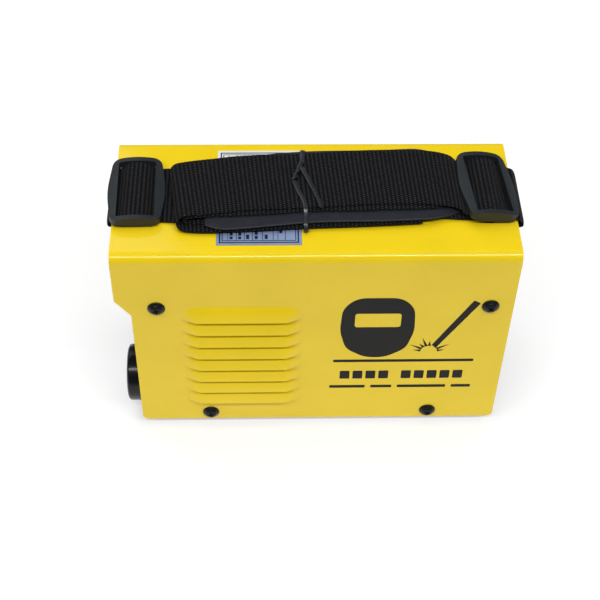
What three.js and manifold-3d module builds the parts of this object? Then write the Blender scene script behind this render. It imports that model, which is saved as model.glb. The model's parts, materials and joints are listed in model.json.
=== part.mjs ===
// Portable inverter stick welder: a folded sheet-steel case on rubber feet, with two cable sockets and a
// current knob in front, a fan, a switch and a cable gland behind, the power electronics inside, and a
// webbing shoulder strap that is folded up on the roof. Millimetres, +Z up, -X is the front.
import * as THREE from 'three';
import { mergeVertices } from 'three/addons/utils/BufferGeometryUtils.js';
import Module from 'manifold-3d';

const wasm = await Module();
wasm.setup();

// ---------------------------------------------------------------- driving dimensions

const caseLength = 230;
const caseWidth = 97;
const caseHeight = 147;
const footHeight = 6;
const sheet = 1.2; // steel sheet of the case
const gap = 0.3; // between pieces that touch
const bendRadius = 5.5; // outside radius of the cover's two long bends
const frontWrap = 3; // how far the strap's webbing stands out past the cover's front edge
const rearWrap = 4; // and past its rear edge
const glandReach = 10; // how far the cable gland stands out behind the cover

// The origin is under the middle of everything, from the webbing in front to the gland behind.
const frontX = frontWrap - (caseLength + frontWrap + glandReach) / 2;
const rearX = frontX + caseLength;
const halfWidth = caseWidth / 2;
const baseZ = footHeight;
const topZ = baseZ + caseHeight;

// The hood: the cover's upper front stands out past its lower front.
const hoodHeight = 34;
const hoodDepth = 9;
const hoodSlope = 12.6;

// Louvres in both sides of the cover
const louvreCount = 8;
const louvrePitch = 10.8;
const louvreLength = 70;
const louvreHeight = 9.4;
const louvreDepth = 3.3;
const louvreCentreX = frontX + 72.6;
const topLipZ = baseZ + 96.4;

// Cover screws, measured from the case's front and the cover's lower edge
const screwPlaces = [
  ['upper_front', frontX + 23.8, baseZ + 105.5],
  ['lower_front', frontX + 52, baseZ + 7],
  ['lower_rear', frontX + 188.2, baseZ + 7],
  ['upper_rear', frontX + 216.3, baseZ + 105.5],
];
const screwHeadRadius = 5.1;
const screwShankRadius = 1.7;
const coverHoleRadius = 2.3;
const flangeHoleRadius = 2.1;

// Front and rear panels
const panelThickness = 1.5;
const frontPanelX = frontX + 10; // its outside face
const rearPanelX = rearX - 4; // its outside face
const panelHalfWidth = halfWidth - sheet - gap;
const panelBottomZ = baseZ + sheet + gap;
const panelTopZ = topZ - sheet - 0.4;
const flangeLength = 20;
const trayFlangeHeight = 18;

// Strap
const webWidth = 44;
const webThickness = 1.5;
const strapY = 0.5; // the middle of the strap where it passes the ends of the roof
const slotWidth = 45.2; // strap slots in the roof
const slotNear = 13.5; // from the cover's end to the slot
const slotFar = 18.5;
const notchDepth = 4.5; // in the panels' top edges, under the strap

// Output sockets
const socketY = 27;
const socketZ = baseZ + 20.8;
const collarRadius = 17.8;
const collarFrontX = frontX + 0.3;
const neckRadius = 11.8;
const neckLength = 8;
const contactRadius = 9;
const plugBoreRadius = 6.6;
const studRadius = 5;

// Knob and display
const knobY = 22;
const controlZ = baseZ + 117;
const knobRadius = 13;
const shaftRadius = 3;
const displayY = -22;
const displayWidth = 40;
const displayHeight = 20;
const ledRadius = 2.5;
const ledZ = baseZ + 94;

// Fan
const fanSize = 80;
const fanDepth = 25;
const fanZ = baseZ + 96;
const fanHolePitch = 71.5;
const fanBoreRadius = 38;
const rotorRadius = 36.5;
const fanHubRadius = 15;

// Switch and cable gland
const switchY = -22;
const rearLowZ = baseZ + 28;
const rockerAngle = THREE.MathUtils.degToRad(10);
const glandY = 23;
const cordBoreRadius = 4.6;

// Inside
const boardBottomZ = baseZ + 10;
const boardThickness = 1.6;
const boardTopZ = boardBottomZ + boardThickness;
const partZ = boardTopZ + gap;

// ---------------------------------------------------------------- materials

function finish(color, roughness, metalness = 0) {
  return new THREE.MeshStandardMaterial({ color, roughness, metalness });
}

const yellowPaint = finish(0xecc414, 0.3);
const blackPaint = finish(0x17181a, 0.45);
const blackScrew = finish(0x101012, 0.35, 0.6);
const zincSteel = finish(0xb9bcc0, 0.35, 0.9);
const glossPlastic = finish(0x0c0d10, 0.18);
const mattePlastic = finish(0x25292c, 0.55);
const rubber = finish(0x1b1b1c, 0.85);
const webbing = finish(0x0e0f11, 0.85);
const padSkin = finish(0x20242b, 0.45);
const brass = finish(0xc9a54b, 0.3, 1);
const copper = finish(0xb9683a, 0.35, 1);
const aluminium = finish(0xb4b7ba, 0.4, 1);
const ferrite = finish(0x37373a, 0.6);
const board = finish(0x1e5b34, 0.5);
const sleeve = finish(0x1d2d52, 0.4);
const tape = finish(0xd8b74a, 0.6);
const labelPaper = finish(0xe4e8ee, 0.5);
const smokedLens = finish(0x2a0d0f, 0.1);
const greenLed = finish(0x39b54a, 0.3);
const amberLed = finish(0xf0a020, 0.3);

// ---------------------------------------------------------------- solids

/** A closed geometry as a manifold-3d solid. */
function solid(geometry) {
  const bare = geometry.clone();
  bare.deleteAttribute('normal');
  bare.deleteAttribute('uv');
  const merged = mergeVertices(bare, 1e-4);
  return new wasm.Manifold(new wasm.Mesh({
    numProp: 3,
    vertProperties: merged.attributes.position.array,
    triVerts: new Uint32Array(merged.index.array),
  }));
}

/** A manifold-3d solid as a geometry. */
function geometryOf(made) {
  const { vertProperties, triVerts } = made.getMesh();
  const geometry = new THREE.BufferGeometry();
  geometry.setAttribute('position', new THREE.BufferAttribute(vertProperties, 3));
  geometry.setIndex(new THREE.BufferAttribute(triVerts, 1));
  geometry.computeVertexNormals();
  return geometry;
}

const part = new THREE.Group();

/** Adds a solid to the part as a named mesh, and returns the mesh. */
function add(name, made, material) {
  const mesh = new THREE.Mesh(geometryOf(made), material);
  mesh.name = name;
  part.add(mesh);
  return mesh;
}

const union = (solids) => solids.reduce((whole, next) => whole.add(next));
const cut = (body, tools) => body.subtract(union(tools));

/** A box between two corners. */
function block(x0, x1, y0, y1, z0, z1) {
  const geometry = new THREE.BoxGeometry(x1 - x0, y1 - y0, z1 - z0);
  return solid(geometry.translate((x0 + x1) / 2, (y0 + y1) / 2, (z0 + z1) / 2));
}

/** A cylinder along X, Y or Z, from start to end on that axis, through the point at. */
function rod(axis, radius, start, end, at, segments = 16) {
  const geometry = new THREE.CylinderGeometry(radius, radius, end - start, segments);
  if (axis === 'x') geometry.rotateZ(-Math.PI / 2);
  if (axis === 'z') geometry.rotateX(Math.PI / 2);
  const middle = { x: at[0], y: at[1], z: at[2] };
  middle[axis] = (start + end) / 2;
  return solid(geometry.translate(middle.x, middle.y, middle.z));
}

const basisX = new THREE.Matrix4().makeBasis(
  new THREE.Vector3(0, 1, 0), new THREE.Vector3(0, 0, 1), new THREE.Vector3(1, 0, 0));
const basisY = new THREE.Matrix4().makeBasis(
  new THREE.Vector3(1, 0, 0), new THREE.Vector3(0, 0, 1), new THREE.Vector3(0, -1, 0));

/** An outline drawn in (y, z), from x0 to x1. */
function alongX(shape, x0, x1, curveSegments = 4) {
  const geometry = new THREE.ExtrudeGeometry(shape, { depth: x1 - x0, bevelEnabled: false, curveSegments });
  return solid(geometry.applyMatrix4(basisX).translate(x0, 0, 0));
}

/** An outline drawn in (x, z), from y0 to y1. */
function alongY(shape, y0, y1, curveSegments = 4) {
  const geometry = new THREE.ExtrudeGeometry(shape, { depth: y1 - y0, bevelEnabled: false, curveSegments });
  return solid(geometry.applyMatrix4(basisY).translate(0, y1, 0));
}

/** An outline drawn in (x, y), from z0 to z1. */
function alongZ(shape, z0, z1, curveSegments = 4) {
  const geometry = new THREE.ExtrudeGeometry(shape, { depth: z1 - z0, bevelEnabled: false, curveSegments });
  return solid(geometry.translate(0, 0, z0));
}

/** A profile of [radius, height] points turned about an axis that points along x or z. */
function turned(axis, profile, segments = 16) {
  const points = profile.map(([radius, height]) => new THREE.Vector2(radius, height));
  const geometry = new THREE.LatheGeometry(points, segments);
  if (axis === 'x') geometry.rotateZ(-Math.PI / 2);
  if (axis === 'z') geometry.rotateX(Math.PI / 2);
  return solid(geometry);
}

/** A rectangle with round corners, centred on (u, v). */
function roundRectangle(u, v, width, height, radius) {
  const [left, right, low, high] = [u - width / 2, u + width / 2, v - height / 2, v + height / 2];
  const shape = new THREE.Shape();
  shape.moveTo(left + radius, low);
  shape.lineTo(right - radius, low);
  shape.absarc(right - radius, low + radius, radius, -Math.PI / 2, 0);
  shape.lineTo(right, high - radius);
  shape.absarc(right - radius, high - radius, radius, 0, Math.PI / 2);
  shape.lineTo(left + radius, high);
  shape.absarc(left + radius, high - radius, radius, Math.PI / 2, Math.PI);
  shape.lineTo(left, low + radius);
  shape.absarc(left + radius, low + radius, radius, Math.PI, 1.5 * Math.PI);
  return shape;
}

/** A closed outline through [u, v] points. */
const outline = (points) => new THREE.Shape(points.map(([u, v]) => new THREE.Vector2(u, v)));

/** A regular hexagon of the given width across its flats. */
function hexagon(u, v, acrossFlats) {
  const corner = acrossFlats / Math.sqrt(3);
  return outline(Array.from({ length: 6 }, (_, i) => {
    const angle = (i * Math.PI) / 3;
    return [u + corner * Math.cos(angle), v + corner * Math.sin(angle)];
  }));
}

// ---------------------------------------------------------------- cover

/** The cover's cross-section: roof and two sides, open below, with a bend at each long edge. */
function coverSection() {
  const shape = new THREE.Shape();
  const inner = bendRadius - sheet;
  const turn = halfWidth - bendRadius;
  shape.moveTo(-halfWidth, baseZ);
  shape.lineTo(-halfWidth + sheet, baseZ);
  shape.lineTo(-halfWidth + sheet, topZ - bendRadius);
  shape.absarc(-turn, topZ - bendRadius, inner, Math.PI, Math.PI / 2, true);
  shape.lineTo(turn, topZ - sheet);
  shape.absarc(turn, topZ - bendRadius, inner, Math.PI / 2, 0, true);
  shape.lineTo(halfWidth - sheet, baseZ);
  shape.lineTo(halfWidth, baseZ);
  shape.lineTo(halfWidth, topZ - bendRadius);
  shape.absarc(turn, topZ - bendRadius, bendRadius, 0, Math.PI / 2);
  shape.lineTo(-turn, topZ);
  shape.absarc(-turn, topZ - bendRadius, bendRadius, Math.PI / 2, Math.PI);
  return shape;
}

/** The cover's outline from the side, with the hood over the front panel. */
function coverProfile() {
  const cornerRadius = 4;
  const lowerFront = frontX + hoodDepth;
  const shape = new THREE.Shape();
  shape.moveTo(lowerFront + cornerRadius, baseZ);
  shape.lineTo(rearX - cornerRadius, baseZ);
  shape.absarc(rearX - cornerRadius, baseZ + cornerRadius, cornerRadius, -Math.PI / 2, 0);
  shape.lineTo(rearX, topZ);
  shape.lineTo(frontX, topZ);
  shape.lineTo(frontX, topZ - hoodHeight);
  shape.lineTo(lowerFront, topZ - hoodHeight - hoodSlope);
  shape.lineTo(lowerFront, baseZ + cornerRadius);
  shape.absarc(lowerFront + cornerRadius, baseZ + cornerRadius, cornerRadius, Math.PI, 1.5 * Math.PI);
  return shape;
}

/** The upper half of a flattened capsule along X: the pressed-out form of one louvre. */
function louvreForm(side, lipZ, inset) {
  const height = louvreHeight - inset;
  const geometry = new THREE.CapsuleGeometry(height, louvreLength - 2 * louvreHeight, 2, 8);
  geometry.rotateZ(Math.PI / 2);
  geometry.scale(1, (louvreDepth - inset) / height, 1);
  geometry.translate(louvreCentreX, side * halfWidth, lipZ);
  const reach = louvreLength / 2;
  const y = side * halfWidth;
  const upper = block(louvreCentreX - reach, louvreCentreX + reach, y - 5, y + 5, lipZ, lipZ + louvreHeight);
  return solid(geometry).intersect(upper);
}

function makeCover() {
  let cover = alongX(coverSection(), frontX, rearX).intersect(alongY(coverProfile(), -60, 60));
  const forms = [];
  const hollows = [];
  for (const side of [-1, 1]) {
    for (let i = 0; i < louvreCount; i++) {
      const lipZ = topLipZ - i * louvrePitch;
      forms.push(louvreForm(side, lipZ, 0));
      hollows.push(louvreForm(side, lipZ, sheet));
    }
  }
  cover = cut(cover.add(union(forms)), hollows);
  const holes = screwPlaces.map(([, x, z]) => rod('y', coverHoleRadius, -60, 60, [x, 0, z], 10));
  const slots = [frontX + slotNear, rearX - slotFar].map((x) => {
    const shape = roundRectangle(x + (slotFar - slotNear) / 2, strapY, slotFar - slotNear, slotWidth, 2);
    return alongZ(shape, topZ - 5, topZ + 5, 2);
  });
  return cut(cover, [...holes, ...slots]);
}

// ---------------------------------------------------------------- tray, panels and feet

/** The notch in a panel's top edge that the strap passes through. */
function strapNotch(x0, x1) {
  return block(x0, x1, strapY - slotWidth / 2, strapY + slotWidth / 2, panelTopZ - notchDepth, topZ);
}

function makeTray() {
  const x0 = frontPanelX + panelThickness + gap;
  const x1 = rearPanelX - panelThickness - gap;
  const outer = block(x0, x1, -panelHalfWidth, panelHalfWidth, baseZ, baseZ + trayFlangeHeight);
  const inner = block(x0 - 1, x1 + 1, -panelHalfWidth + sheet, panelHalfWidth - sheet, baseZ + sheet, topZ);
  const holes = screwPlaces.slice(1, 3).map(([, x, z]) => rod('y', flangeHoleRadius, -60, 60, [x, 0, z], 10));
  const footHoles = footPlaces.map(([, x, y]) => rod('z', 2.9, baseZ - 1, baseZ + 3, [x, y, 0], 10));
  const vents = Array.from({ length: 4 }, (_, i) => {
    const x = frontX + 85 + i * 14;
    return alongZ(roundRectangle(x, 0, 3.6, 46, 1.7), baseZ - 1, baseZ + 3, 2);
  });
  return cut(outer, [inner, ...holes, ...footHoles, ...vents]);
}

/** A panel with a flange along each side that runs into the case, dir being +1 or -1 along X. */
function panelBlank(outsideX, dir) {
  const insideX = outsideX + dir * panelThickness;
  const flangeX = outsideX + dir * flangeLength;
  const [p0, p1] = [Math.min(outsideX, insideX), Math.max(outsideX, insideX)];
  const [f0, f1] = [Math.min(outsideX, flangeX), Math.max(outsideX, flangeX)];
  const plate = block(p0, p1, -panelHalfWidth, panelHalfWidth, panelBottomZ, panelTopZ - bendRadius);
  const head = block(p0, p1, -panelHalfWidth + 4.5, panelHalfWidth - 4.5, panelBottomZ, panelTopZ);
  const flangeLow = baseZ + trayFlangeHeight + 2;
  const flangeHigh = topZ - bendRadius - 4;
  const flanges = [-1, 1].map((side) => {
    const outer = side * panelHalfWidth;
    const inner = side * (panelHalfWidth - sheet);
    return block(f0, f1, Math.min(outer, inner), Math.max(outer, inner), flangeLow, flangeHigh);
  });
  return union([plate, head, ...flanges]);
}

/** Horizontal slots between the controls and the sockets that the cooling air leaves through. */
function frontVents() {
  return Array.from({ length: 5 }, (_, i) => {
    const z = baseZ + 50 + i * 7.5;
    return alongX(roundRectangle(0, z, 64, 3.4, 1.6), frontPanelX - 2, frontPanelX + 4, 2);
  });
}

function makeFrontPanel() {
  const x0 = frontPanelX - 2;
  const x1 = frontPanelX + 4;
  const opening = roundRectangle(displayY, controlZ, displayWidth + 1, displayHeight + 1, 2);
  const window = alongX(opening, x0, x1, 2);
  const bushing = rod('x', 3.9, x0, x1, [0, knobY, controlZ], 12);
  const leds = [displayY - 8, displayY + 8].map((y) => rod('x', ledRadius + 0.2, x0, x1, [0, y, ledZ], 12));
  const sockets = [-1, 1].map((side) => rod('x', neckRadius + 0.5, x0, x1, [0, side * socketY, socketZ], 20));
  const [, screwX, screwZ] = screwPlaces[0];
  const screws = rod('y', flangeHoleRadius, -60, 60, [screwX, 0, screwZ], 12);
  const notch = strapNotch(x0, x1);
  const holes = [window, bushing, ...leds, ...sockets, screws, notch, ...frontVents()];
  return cut(panelBlank(frontPanelX, 1), holes);
}

/** One ring of the fan grille: four arc-shaped slots between two radii. */
function grilleArcs(inner, outer) {
  const bridge = 2.5 / outer; // half of the bar left between two slots, as an angle
  return [0, 1, 2, 3].map((quarter) => {
    const from = (quarter * Math.PI) / 2 + Math.PI / 4 + bridge;
    const to = from + Math.PI / 2 - 2 * bridge;
    const shape = new THREE.Shape();
    shape.absarc(0, fanZ, outer, from, to);
    shape.absarc(0, fanZ, inner, to, from, true);
    return alongX(shape, rearPanelX - 4, rearPanelX + 2, 3);
  });
}

function makeRearPanel() {
  const x0 = rearPanelX - 4;
  const x1 = rearPanelX + 2;
  const grille = [[9, 15], [18.5, 24.5], [28, 34]].flatMap(([inner, outer]) => grilleArcs(inner, outer));
  const fanHoles = fanScrewPlaces.map(([, y, z]) => rod('x', 2.1, x0, x1, [0, y, z], 10));
  const [, screwX, screwZ] = screwPlaces[3];
  const screws = rod('y', flangeHoleRadius, -60, 60, [screwX, 0, screwZ], 12);
  const switchHole = block(x0, x1, switchY - 9.3, switchY + 9.3, rearLowZ - 14.3, rearLowZ + 14.3);
  const glandHole = rod('x', 8.1, x0, x1, [0, glandY, rearLowZ], 18);
  const notch = strapNotch(x0, x1);
  return cut(panelBlank(rearPanelX, -1), [...grille, ...fanHoles, screws, switchHole, glandHole, notch]);
}

const footPlaces = [
  ['foot_front_left', frontX + 34, 33],
  ['foot_front_right', frontX + 34, -33],
  ['foot_rear_left', rearX - 26, 33],
  ['foot_rear_right', rearX - 26, -33],
];

/** A push-in rubber foot: a tapered pad, and a stem with a barb above the tray. */
function makeFoot() {
  return turned('z', [
    [0, 0], [6, 0], [7, footHeight - gap], [2.5, footHeight - gap],
    [2.5, footHeight + sheet + gap], [3.7, footHeight + sheet + 0.6], [1.8, footHeight + sheet + 2.8],
    [0, footHeight + sheet + 2.8],
  ], 14);
}

// ---------------------------------------------------------------- screws

/** A cross-recess screw with a flanged round head, its seat at z = 0 and its head upwards. */
function makeScrew(headRadius, shankRadius, shankLength) {
  const headHeight = 0.58 * headRadius;
  const body = turned('z', [
    [0, -shankLength], [shankRadius, -shankLength], [shankRadius, 0], [headRadius, 0],
    [headRadius, 0.16 * headRadius], [0.5 * headRadius, headHeight], [0, headHeight],
  ], 10);
  const arm = 0.36 * headRadius;
  const web = 0.1 * headRadius;
  const depth = headHeight - 1.4;
  return cut(body, [
    block(-arm, arm, -web, web, depth, headHeight + 1),
    block(-web, web, -arm, arm, depth, headHeight + 1),
  ]);
}

// ---------------------------------------------------------------- output sockets

/** The socket's insulated body: a collar in front of the panel and a neck through it. */
function makeSocketBody(y) {
  const neckEnd = frontPanelX + neckLength;
  const seat = frontPanelX - gap;
  const profile = [
    [plugBoreRadius + 0.2, collarFrontX], [collarRadius - 1.5, collarFrontX],
    [collarRadius - 0.4, collarFrontX + 0.5], [collarRadius, collarFrontX + 1.8],
    [collarRadius, seat], [neckRadius, seat], [neckRadius, neckEnd],
    [contactRadius + gap, neckEnd], [contactRadius + gap, collarFrontX + 2.7],
    [plugBoreRadius + 0.2, collarFrontX + 2.7], [plugBoreRadius + 0.2, collarFrontX],
  ];
  const body = turned('x', profile, 24).translate([0, y, socketZ]);
  const keywayTop = socketZ + plugBoreRadius + 3;
  const keyway = block(collarFrontX - 1, collarFrontX + 4, y - 2, y + 2, socketZ, keywayTop);
  return cut(body, [keyway]);
}

/** The brass contact: a tube that takes the plug, closed behind, with a stud for the busbar. */
function makeSocketContact(y) {
  const front = collarFrontX + 3;
  const neckEnd = frontPanelX + neckLength;
  const profile = [
    [plugBoreRadius, front], [contactRadius, front], [contactRadius, neckEnd + gap],
    [neckRadius - 1, neckEnd + gap], [neckRadius - 1, neckEnd + 2.5], [studRadius, neckEnd + 2.5],
    [studRadius, neckEnd + 24], [0, neckEnd + 24], [0, neckEnd - 1], [plugBoreRadius, neckEnd - 1],
    [plugBoreRadius, front],
  ];
  return turned('x', profile, 18).translate([0, y, socketZ]);
}

/** The ring nut that clamps the socket's neck behind the panel. */
function makeSocketNut(y) {
  const x0 = frontPanelX + panelThickness + gap;
  const nut = alongX(hexagon(y, socketZ, 29), x0, x0 + 4.5);
  return cut(nut, [rod('x', neckRadius + 0.5, x0 - 1, x0 + 6, [0, y, socketZ], 20)]);
}

/** A copper bar from the socket's stud back to the main board. */
function makeBusbar(y) {
  const x0 = frontPanelX + neckLength + 5;
  const boardX = boardFrontX + 14;
  const lug = block(x0, x0 + 2, y - 8, y + 8, partZ, socketZ + 8);
  const leg = block(x0, boardX, y - 8, y + 8, partZ, partZ + 2);
  return cut(lug.add(leg), [rod('x', studRadius + 0.5, x0 - 1, x0 + 3, [0, y, socketZ], 16)]);
}

// ---------------------------------------------------------------- knob, display and lamps

/** The current knob: a fluted grip on a skirt, with a pointer line down its face and a blind bore behind. */
function makeKnob() {
  const back = frontPanelX - 0.6;
  const face = frontX - 1;
  const flutes = 12;
  const steps = 4 * flutes;
  const grip = Array.from({ length: steps }, (_, i) => {
    const angle = (2 * Math.PI * i) / steps;
    const radius = 10.6 + 0.45 * Math.cos(flutes * angle);
    return [knobY + radius * Math.cos(angle), controlZ + radius * Math.sin(angle)];
  });
  const skirt = turned('x', [
    [0, back - 3.2], [10.2, back - 3.2], [knobRadius, back - 1.2], [knobRadius, back], [0, back],
  ], 24).translate([0, knobY, controlZ]);
  const body = alongX(outline(grip), face + 0.6, back - 1).add(skirt)
    .add(rod('x', 9.6, face, face + 2, [0, knobY, controlZ], 24));
  const bore = rod('x', shaftRadius + gap, back - 8, back + 1, [0, knobY, controlZ], 14);
  const pointer = block(face - 1, face + 0.5, knobY - 0.7, knobY + 0.7, controlZ + 2, controlZ + 12);
  return cut(body, [bore, pointer]);
}

/** The potentiometer behind the panel: a can with a bushing that stands through the panel. */
function makePotentiometer() {
  const inside = frontPanelX + panelThickness + gap;
  const profile = [
    [shaftRadius + gap, frontPanelX - 0.4], [3.7, frontPanelX - 0.4], [3.7, inside], [8.5, inside],
    [8.5, inside + 9], [0, inside + 9], [0, inside + 3], [shaftRadius + gap, inside + 3],
    [shaftRadius + gap, frontPanelX - 0.4],
  ];
  return turned('x', profile, 16).translate([0, knobY, controlZ]);
}

/** The potentiometer's shaft, with a flat along its outer end. */
function makeShaft() {
  const end = frontPanelX - 7.5;
  const shaft = rod('x', shaftRadius, end, frontPanelX + panelThickness + 2.5, [0, knobY, controlZ], 14);
  const flat = block(end - 1, end + 6, knobY - 5, knobY + 5, controlZ + 1.6, controlZ + 5);
  return cut(shaft, [flat]);
}

function makeDisplayLens() {
  const shape = roundRectangle(displayY, controlZ, displayWidth, displayHeight, 1.5);
  return alongX(shape, frontPanelX - 0.4, frontPanelX + panelThickness, 3);
}

/** The display board: a small circuit board with the digit block on its front. */
function makeDisplayBoard() {
  const back = frontPanelX + panelThickness + 12;
  const digits = block(back - 11, back, displayY - 15, displayY + 15, controlZ - 8, controlZ + 8);
  const card = block(back, back + 1.6, -38, 38, ledZ - 5, controlZ + 12);
  return digits.add(card);
}

/** A round indicator lamp with a domed end, pushed through the panel. */
function makeLamp(y) {
  const seat = frontPanelX + panelThickness + 0.2;
  return turned('x', [
    [0, frontPanelX - 2.6], [1.3, frontPanelX - 2.2], [2.2, frontPanelX - 1.2], [ledRadius, frontPanelX],
    [ledRadius, seat], [ledRadius + 0.5, seat], [ledRadius + 0.5, seat + 1.2], [0, seat + 1.2],
  ], 12).translate([0, y, ledZ]);
}

// ---------------------------------------------------------------- fan

const fanRearX = rearPanelX - panelThickness - gap;
const fanFrontX = fanRearX - fanDepth;
const fanScrewPlaces = [-1, 1].flatMap((row) => [-1, 1].map((column) => [
  `fan_screw_${row < 0 ? 'lower' : 'upper'}_${column < 0 ? 'right' : 'left'}`,
  (column * fanHolePitch) / 2,
  fanZ + (row * fanHolePitch) / 2,
]));

/** The fan's square frame, with four struts that carry the motor's base plate on the inner side. */
function makeFanFrame() {
  const frame = alongX(roundRectangle(0, fanZ, fanSize, fanSize, 4), fanFrontX, fanRearX, 4);
  const bore = rod('x', fanBoreRadius, fanFrontX - 1, fanRearX + 1, [0, 0, fanZ], 32);
  const holes = fanScrewPlaces.map(([, y, z]) => rod('x', 2.1, fanFrontX - 1, fanRearX + 1, [0, y, z], 8));
  const plate = rod('x', fanHubRadius, fanFrontX, fanFrontX + 2.5, [0, 0, fanZ], 20);
  const reach = fanBoreRadius + 1;
  const struts = [
    block(fanFrontX, fanFrontX + 2.5, -reach, reach, fanZ - 1.5, fanZ + 1.5),
    block(fanFrontX, fanFrontX + 2.5, -1.5, 1.5, fanZ - reach, fanZ + reach),
  ];
  return union([cut(frame, [bore, ...holes]), plate, ...struts]);
}

/** The rotor: a hub with seven pitched blades. */
function makeFanRotor() {
  const blades = 7;
  const hubStart = fanFrontX + 3.2;
  const hubEnd = fanRearX - 2.5;
  const middle = (hubStart + hubEnd) / 2;
  const hub = rod('x', fanHubRadius - 0.5, hubStart, hubEnd, [0, 0, 0], 20);
  const blade = new THREE.BoxGeometry(21, 1.5, rotorRadius - 11);
  blade.rotateZ(THREE.MathUtils.degToRad(48));
  blade.translate(middle, 0, (rotorRadius + 11) / 2);
  const swept = solid(blade).intersect(rod('x', rotorRadius, hubStart, hubEnd, [0, 0, 0], 32));
  const all = Array.from({ length: blades }, (_, i) => swept.rotate([(360 / blades) * i, 0, 0]));
  return union([hub, ...all]).translate([0, 0, fanZ]);
}

// ---------------------------------------------------------------- switch and gland

/** The switch housing: a bezel outside the panel and an open box behind it, with two terminals. */
function makeSwitchBody() {
  const seat = rearPanelX + gap;
  const about = (x0, x1, halfY, halfZ) => (
    block(x0, x1, switchY - halfY, switchY + halfY, rearLowZ - halfZ, rearLowZ + halfZ));
  const bezel = about(seat, seat + 2, 11.5, 16.5);
  const box = about(rearPanelX - 20, seat + 1, 9, 14);
  const well = about(rearPanelX - 10, seat + 3, 7.5, 13.2);
  const tabs = [-8, 8].map((z) => {
    const level = rearLowZ + z;
    return block(rearPanelX - 29, rearPanelX - 19, switchY - 3, switchY + 3, level - 0.4, level + 0.4);
  });
  return union([cut(bezel.add(box), [well]), ...tabs]);
}

/** The rocker about its own pivot: two faces that meet in a shallow valley. */
function makeRocker() {
  const profile = outline([[-5, -8.5], [5.6, -11], [3.6, 0], [5.6, 11], [-5, 8.5]]);
  return alongY(profile, -7.1, 7.1);
}

/** The gland's body: a hexagon outside the panel on a threaded neck through it, bored for the mains cord. */
function makeGlandBody() {
  const seat = rearPanelX + gap;
  const hex = alongX(hexagon(glandY, rearLowZ, 20), seat, seat + 4);
  const neck = rod('x', 7.6, rearPanelX - 9, seat + 1, [0, glandY, rearLowZ], 20);
  const stub = rod('x', 6.4, seat + 3, seat + 9, [0, glandY, rearLowZ], 20);
  const bore = rod('x', cordBoreRadius, rearPanelX - 12, seat + 12, [0, glandY, rearLowZ], 16);
  return cut(union([hex, neck, stub]), [bore]);
}

/** The gland's clamping cap, screwed over the body's sleeve. */
function makeGlandCap() {
  const start = rearPanelX + 2 * gap + 4;
  const profile = [
    [6.8, start], [9.2, start], [9.2, start + 6], [7.6, start + 9.4], [cordBoreRadius, start + 9.4],
    [cordBoreRadius, start + 5.8], [6.8, start + 5.2], [6.8, start],
  ];
  return turned('x', profile, 16).translate([0, glandY, rearLowZ]);
}

function makeGlandNut() {
  const end = rearPanelX - panelThickness - gap;
  const nut = alongX(hexagon(glandY, rearLowZ, 19.5), end - 4, end);
  return cut(nut, [rod('x', 8.1, end - 5, end + 1, [0, glandY, rearLowZ], 20)]);
}

// ---------------------------------------------------------------- power electronics

const boardFrontX = frontX + 44;
const boardRearX = rearX - 34;
const boardHalfWidth = 42;
const transformerX = boardFrontX + 26;

/** The main circuit board on four pressed feet that stand on the tray. */
function makeMainBoard() {
  const plate = block(boardFrontX, boardRearX, -boardHalfWidth, boardHalfWidth, boardBottomZ, boardTopZ);
  const spacers = [boardFrontX + 5, boardRearX - 5].flatMap((x) => [-1, 1].map((side) => (
    rod('z', 3, baseZ + sheet + gap, boardBottomZ + 0.5, [x, side * (boardHalfWidth - 20), 0], 12))));
  return union([plate, ...spacers]);
}

/** A finned heatsink along one side of the board, its back towards the middle. */
function makeHeatsink(side) {
  const back = 21;
  const fins = 9;
  const height = 76;
  const pitch = (height - 2) / (fins - 1);
  const points = [[back, partZ], [back + 20, partZ]];
  for (let i = 0; i < fins; i++) {
    const z = partZ + i * pitch;
    if (i > 0) points.push([back + 3, z], [back + 20, z]);
    points.push([back + 20, z + 2]);
    if (i < fins - 1) points.push([back + 3, z + 2]);
  }
  points.push([back, partZ + height]);
  const profile = points.map(([y, z]) => [side * y, z]);
  if (side < 0) profile.reverse();
  return alongX(outline(profile), frontX + 98, boardRearX - 4);
}

/** The transformer's ferrite core: an outer frame with a middle leg. */
function makeCore() {
  const shape = roundRectangle(transformerX, partZ + 22.5, 46, 44, 1);
  for (const side of [-1, 1]) {
    const window = roundRectangle(transformerX + side * 11.5, partZ + 22.5, 9, 30, 0.5);
    shape.holes.push(new THREE.Path(window.getPoints(2).reverse()));
  }
  return alongY(shape, -12, 12, 2);
}

/** The transformer's windings, round the middle leg. */
function makeWinding() {
  const outer = roundRectangle(transformerX, 0, 31, 37, 4);
  const inner = roundRectangle(transformerX, 0, 14.6, 24.6, 0.5);
  outer.holes.push(new THREE.Path(inner.getPoints(2).reverse()));
  return alongZ(outer, partZ + 8, partZ + 37, 3);
}

/** The output choke: a wound ring lying on the board. */
function makeChoke() {
  const ring = new THREE.TorusGeometry(8.2, 3.4, 8, 14);
  return solid(ring.scale(1, 1, 1.7).translate(boardFrontX + 30, -30.5, partZ + 5.8));
}

/** A can capacitor standing on the board, with a rolled edge. */
function makeCapacitor(x) {
  const height = 42;
  return turned('z', [
    [0, partZ], [12, partZ], [12, partZ + 3], [11.4, partZ + 3.8], [12, partZ + 4.6],
    [12, partZ + height - 0.8], [11.2, partZ + height], [0, partZ + height],
  ], 16).translate([x, 0, 0]);
}

const makeRectifier = () => block(boardRearX - 20, boardRearX - 4, -14, 14, partZ, partZ + 6);

// ---------------------------------------------------------------- strap

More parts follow.
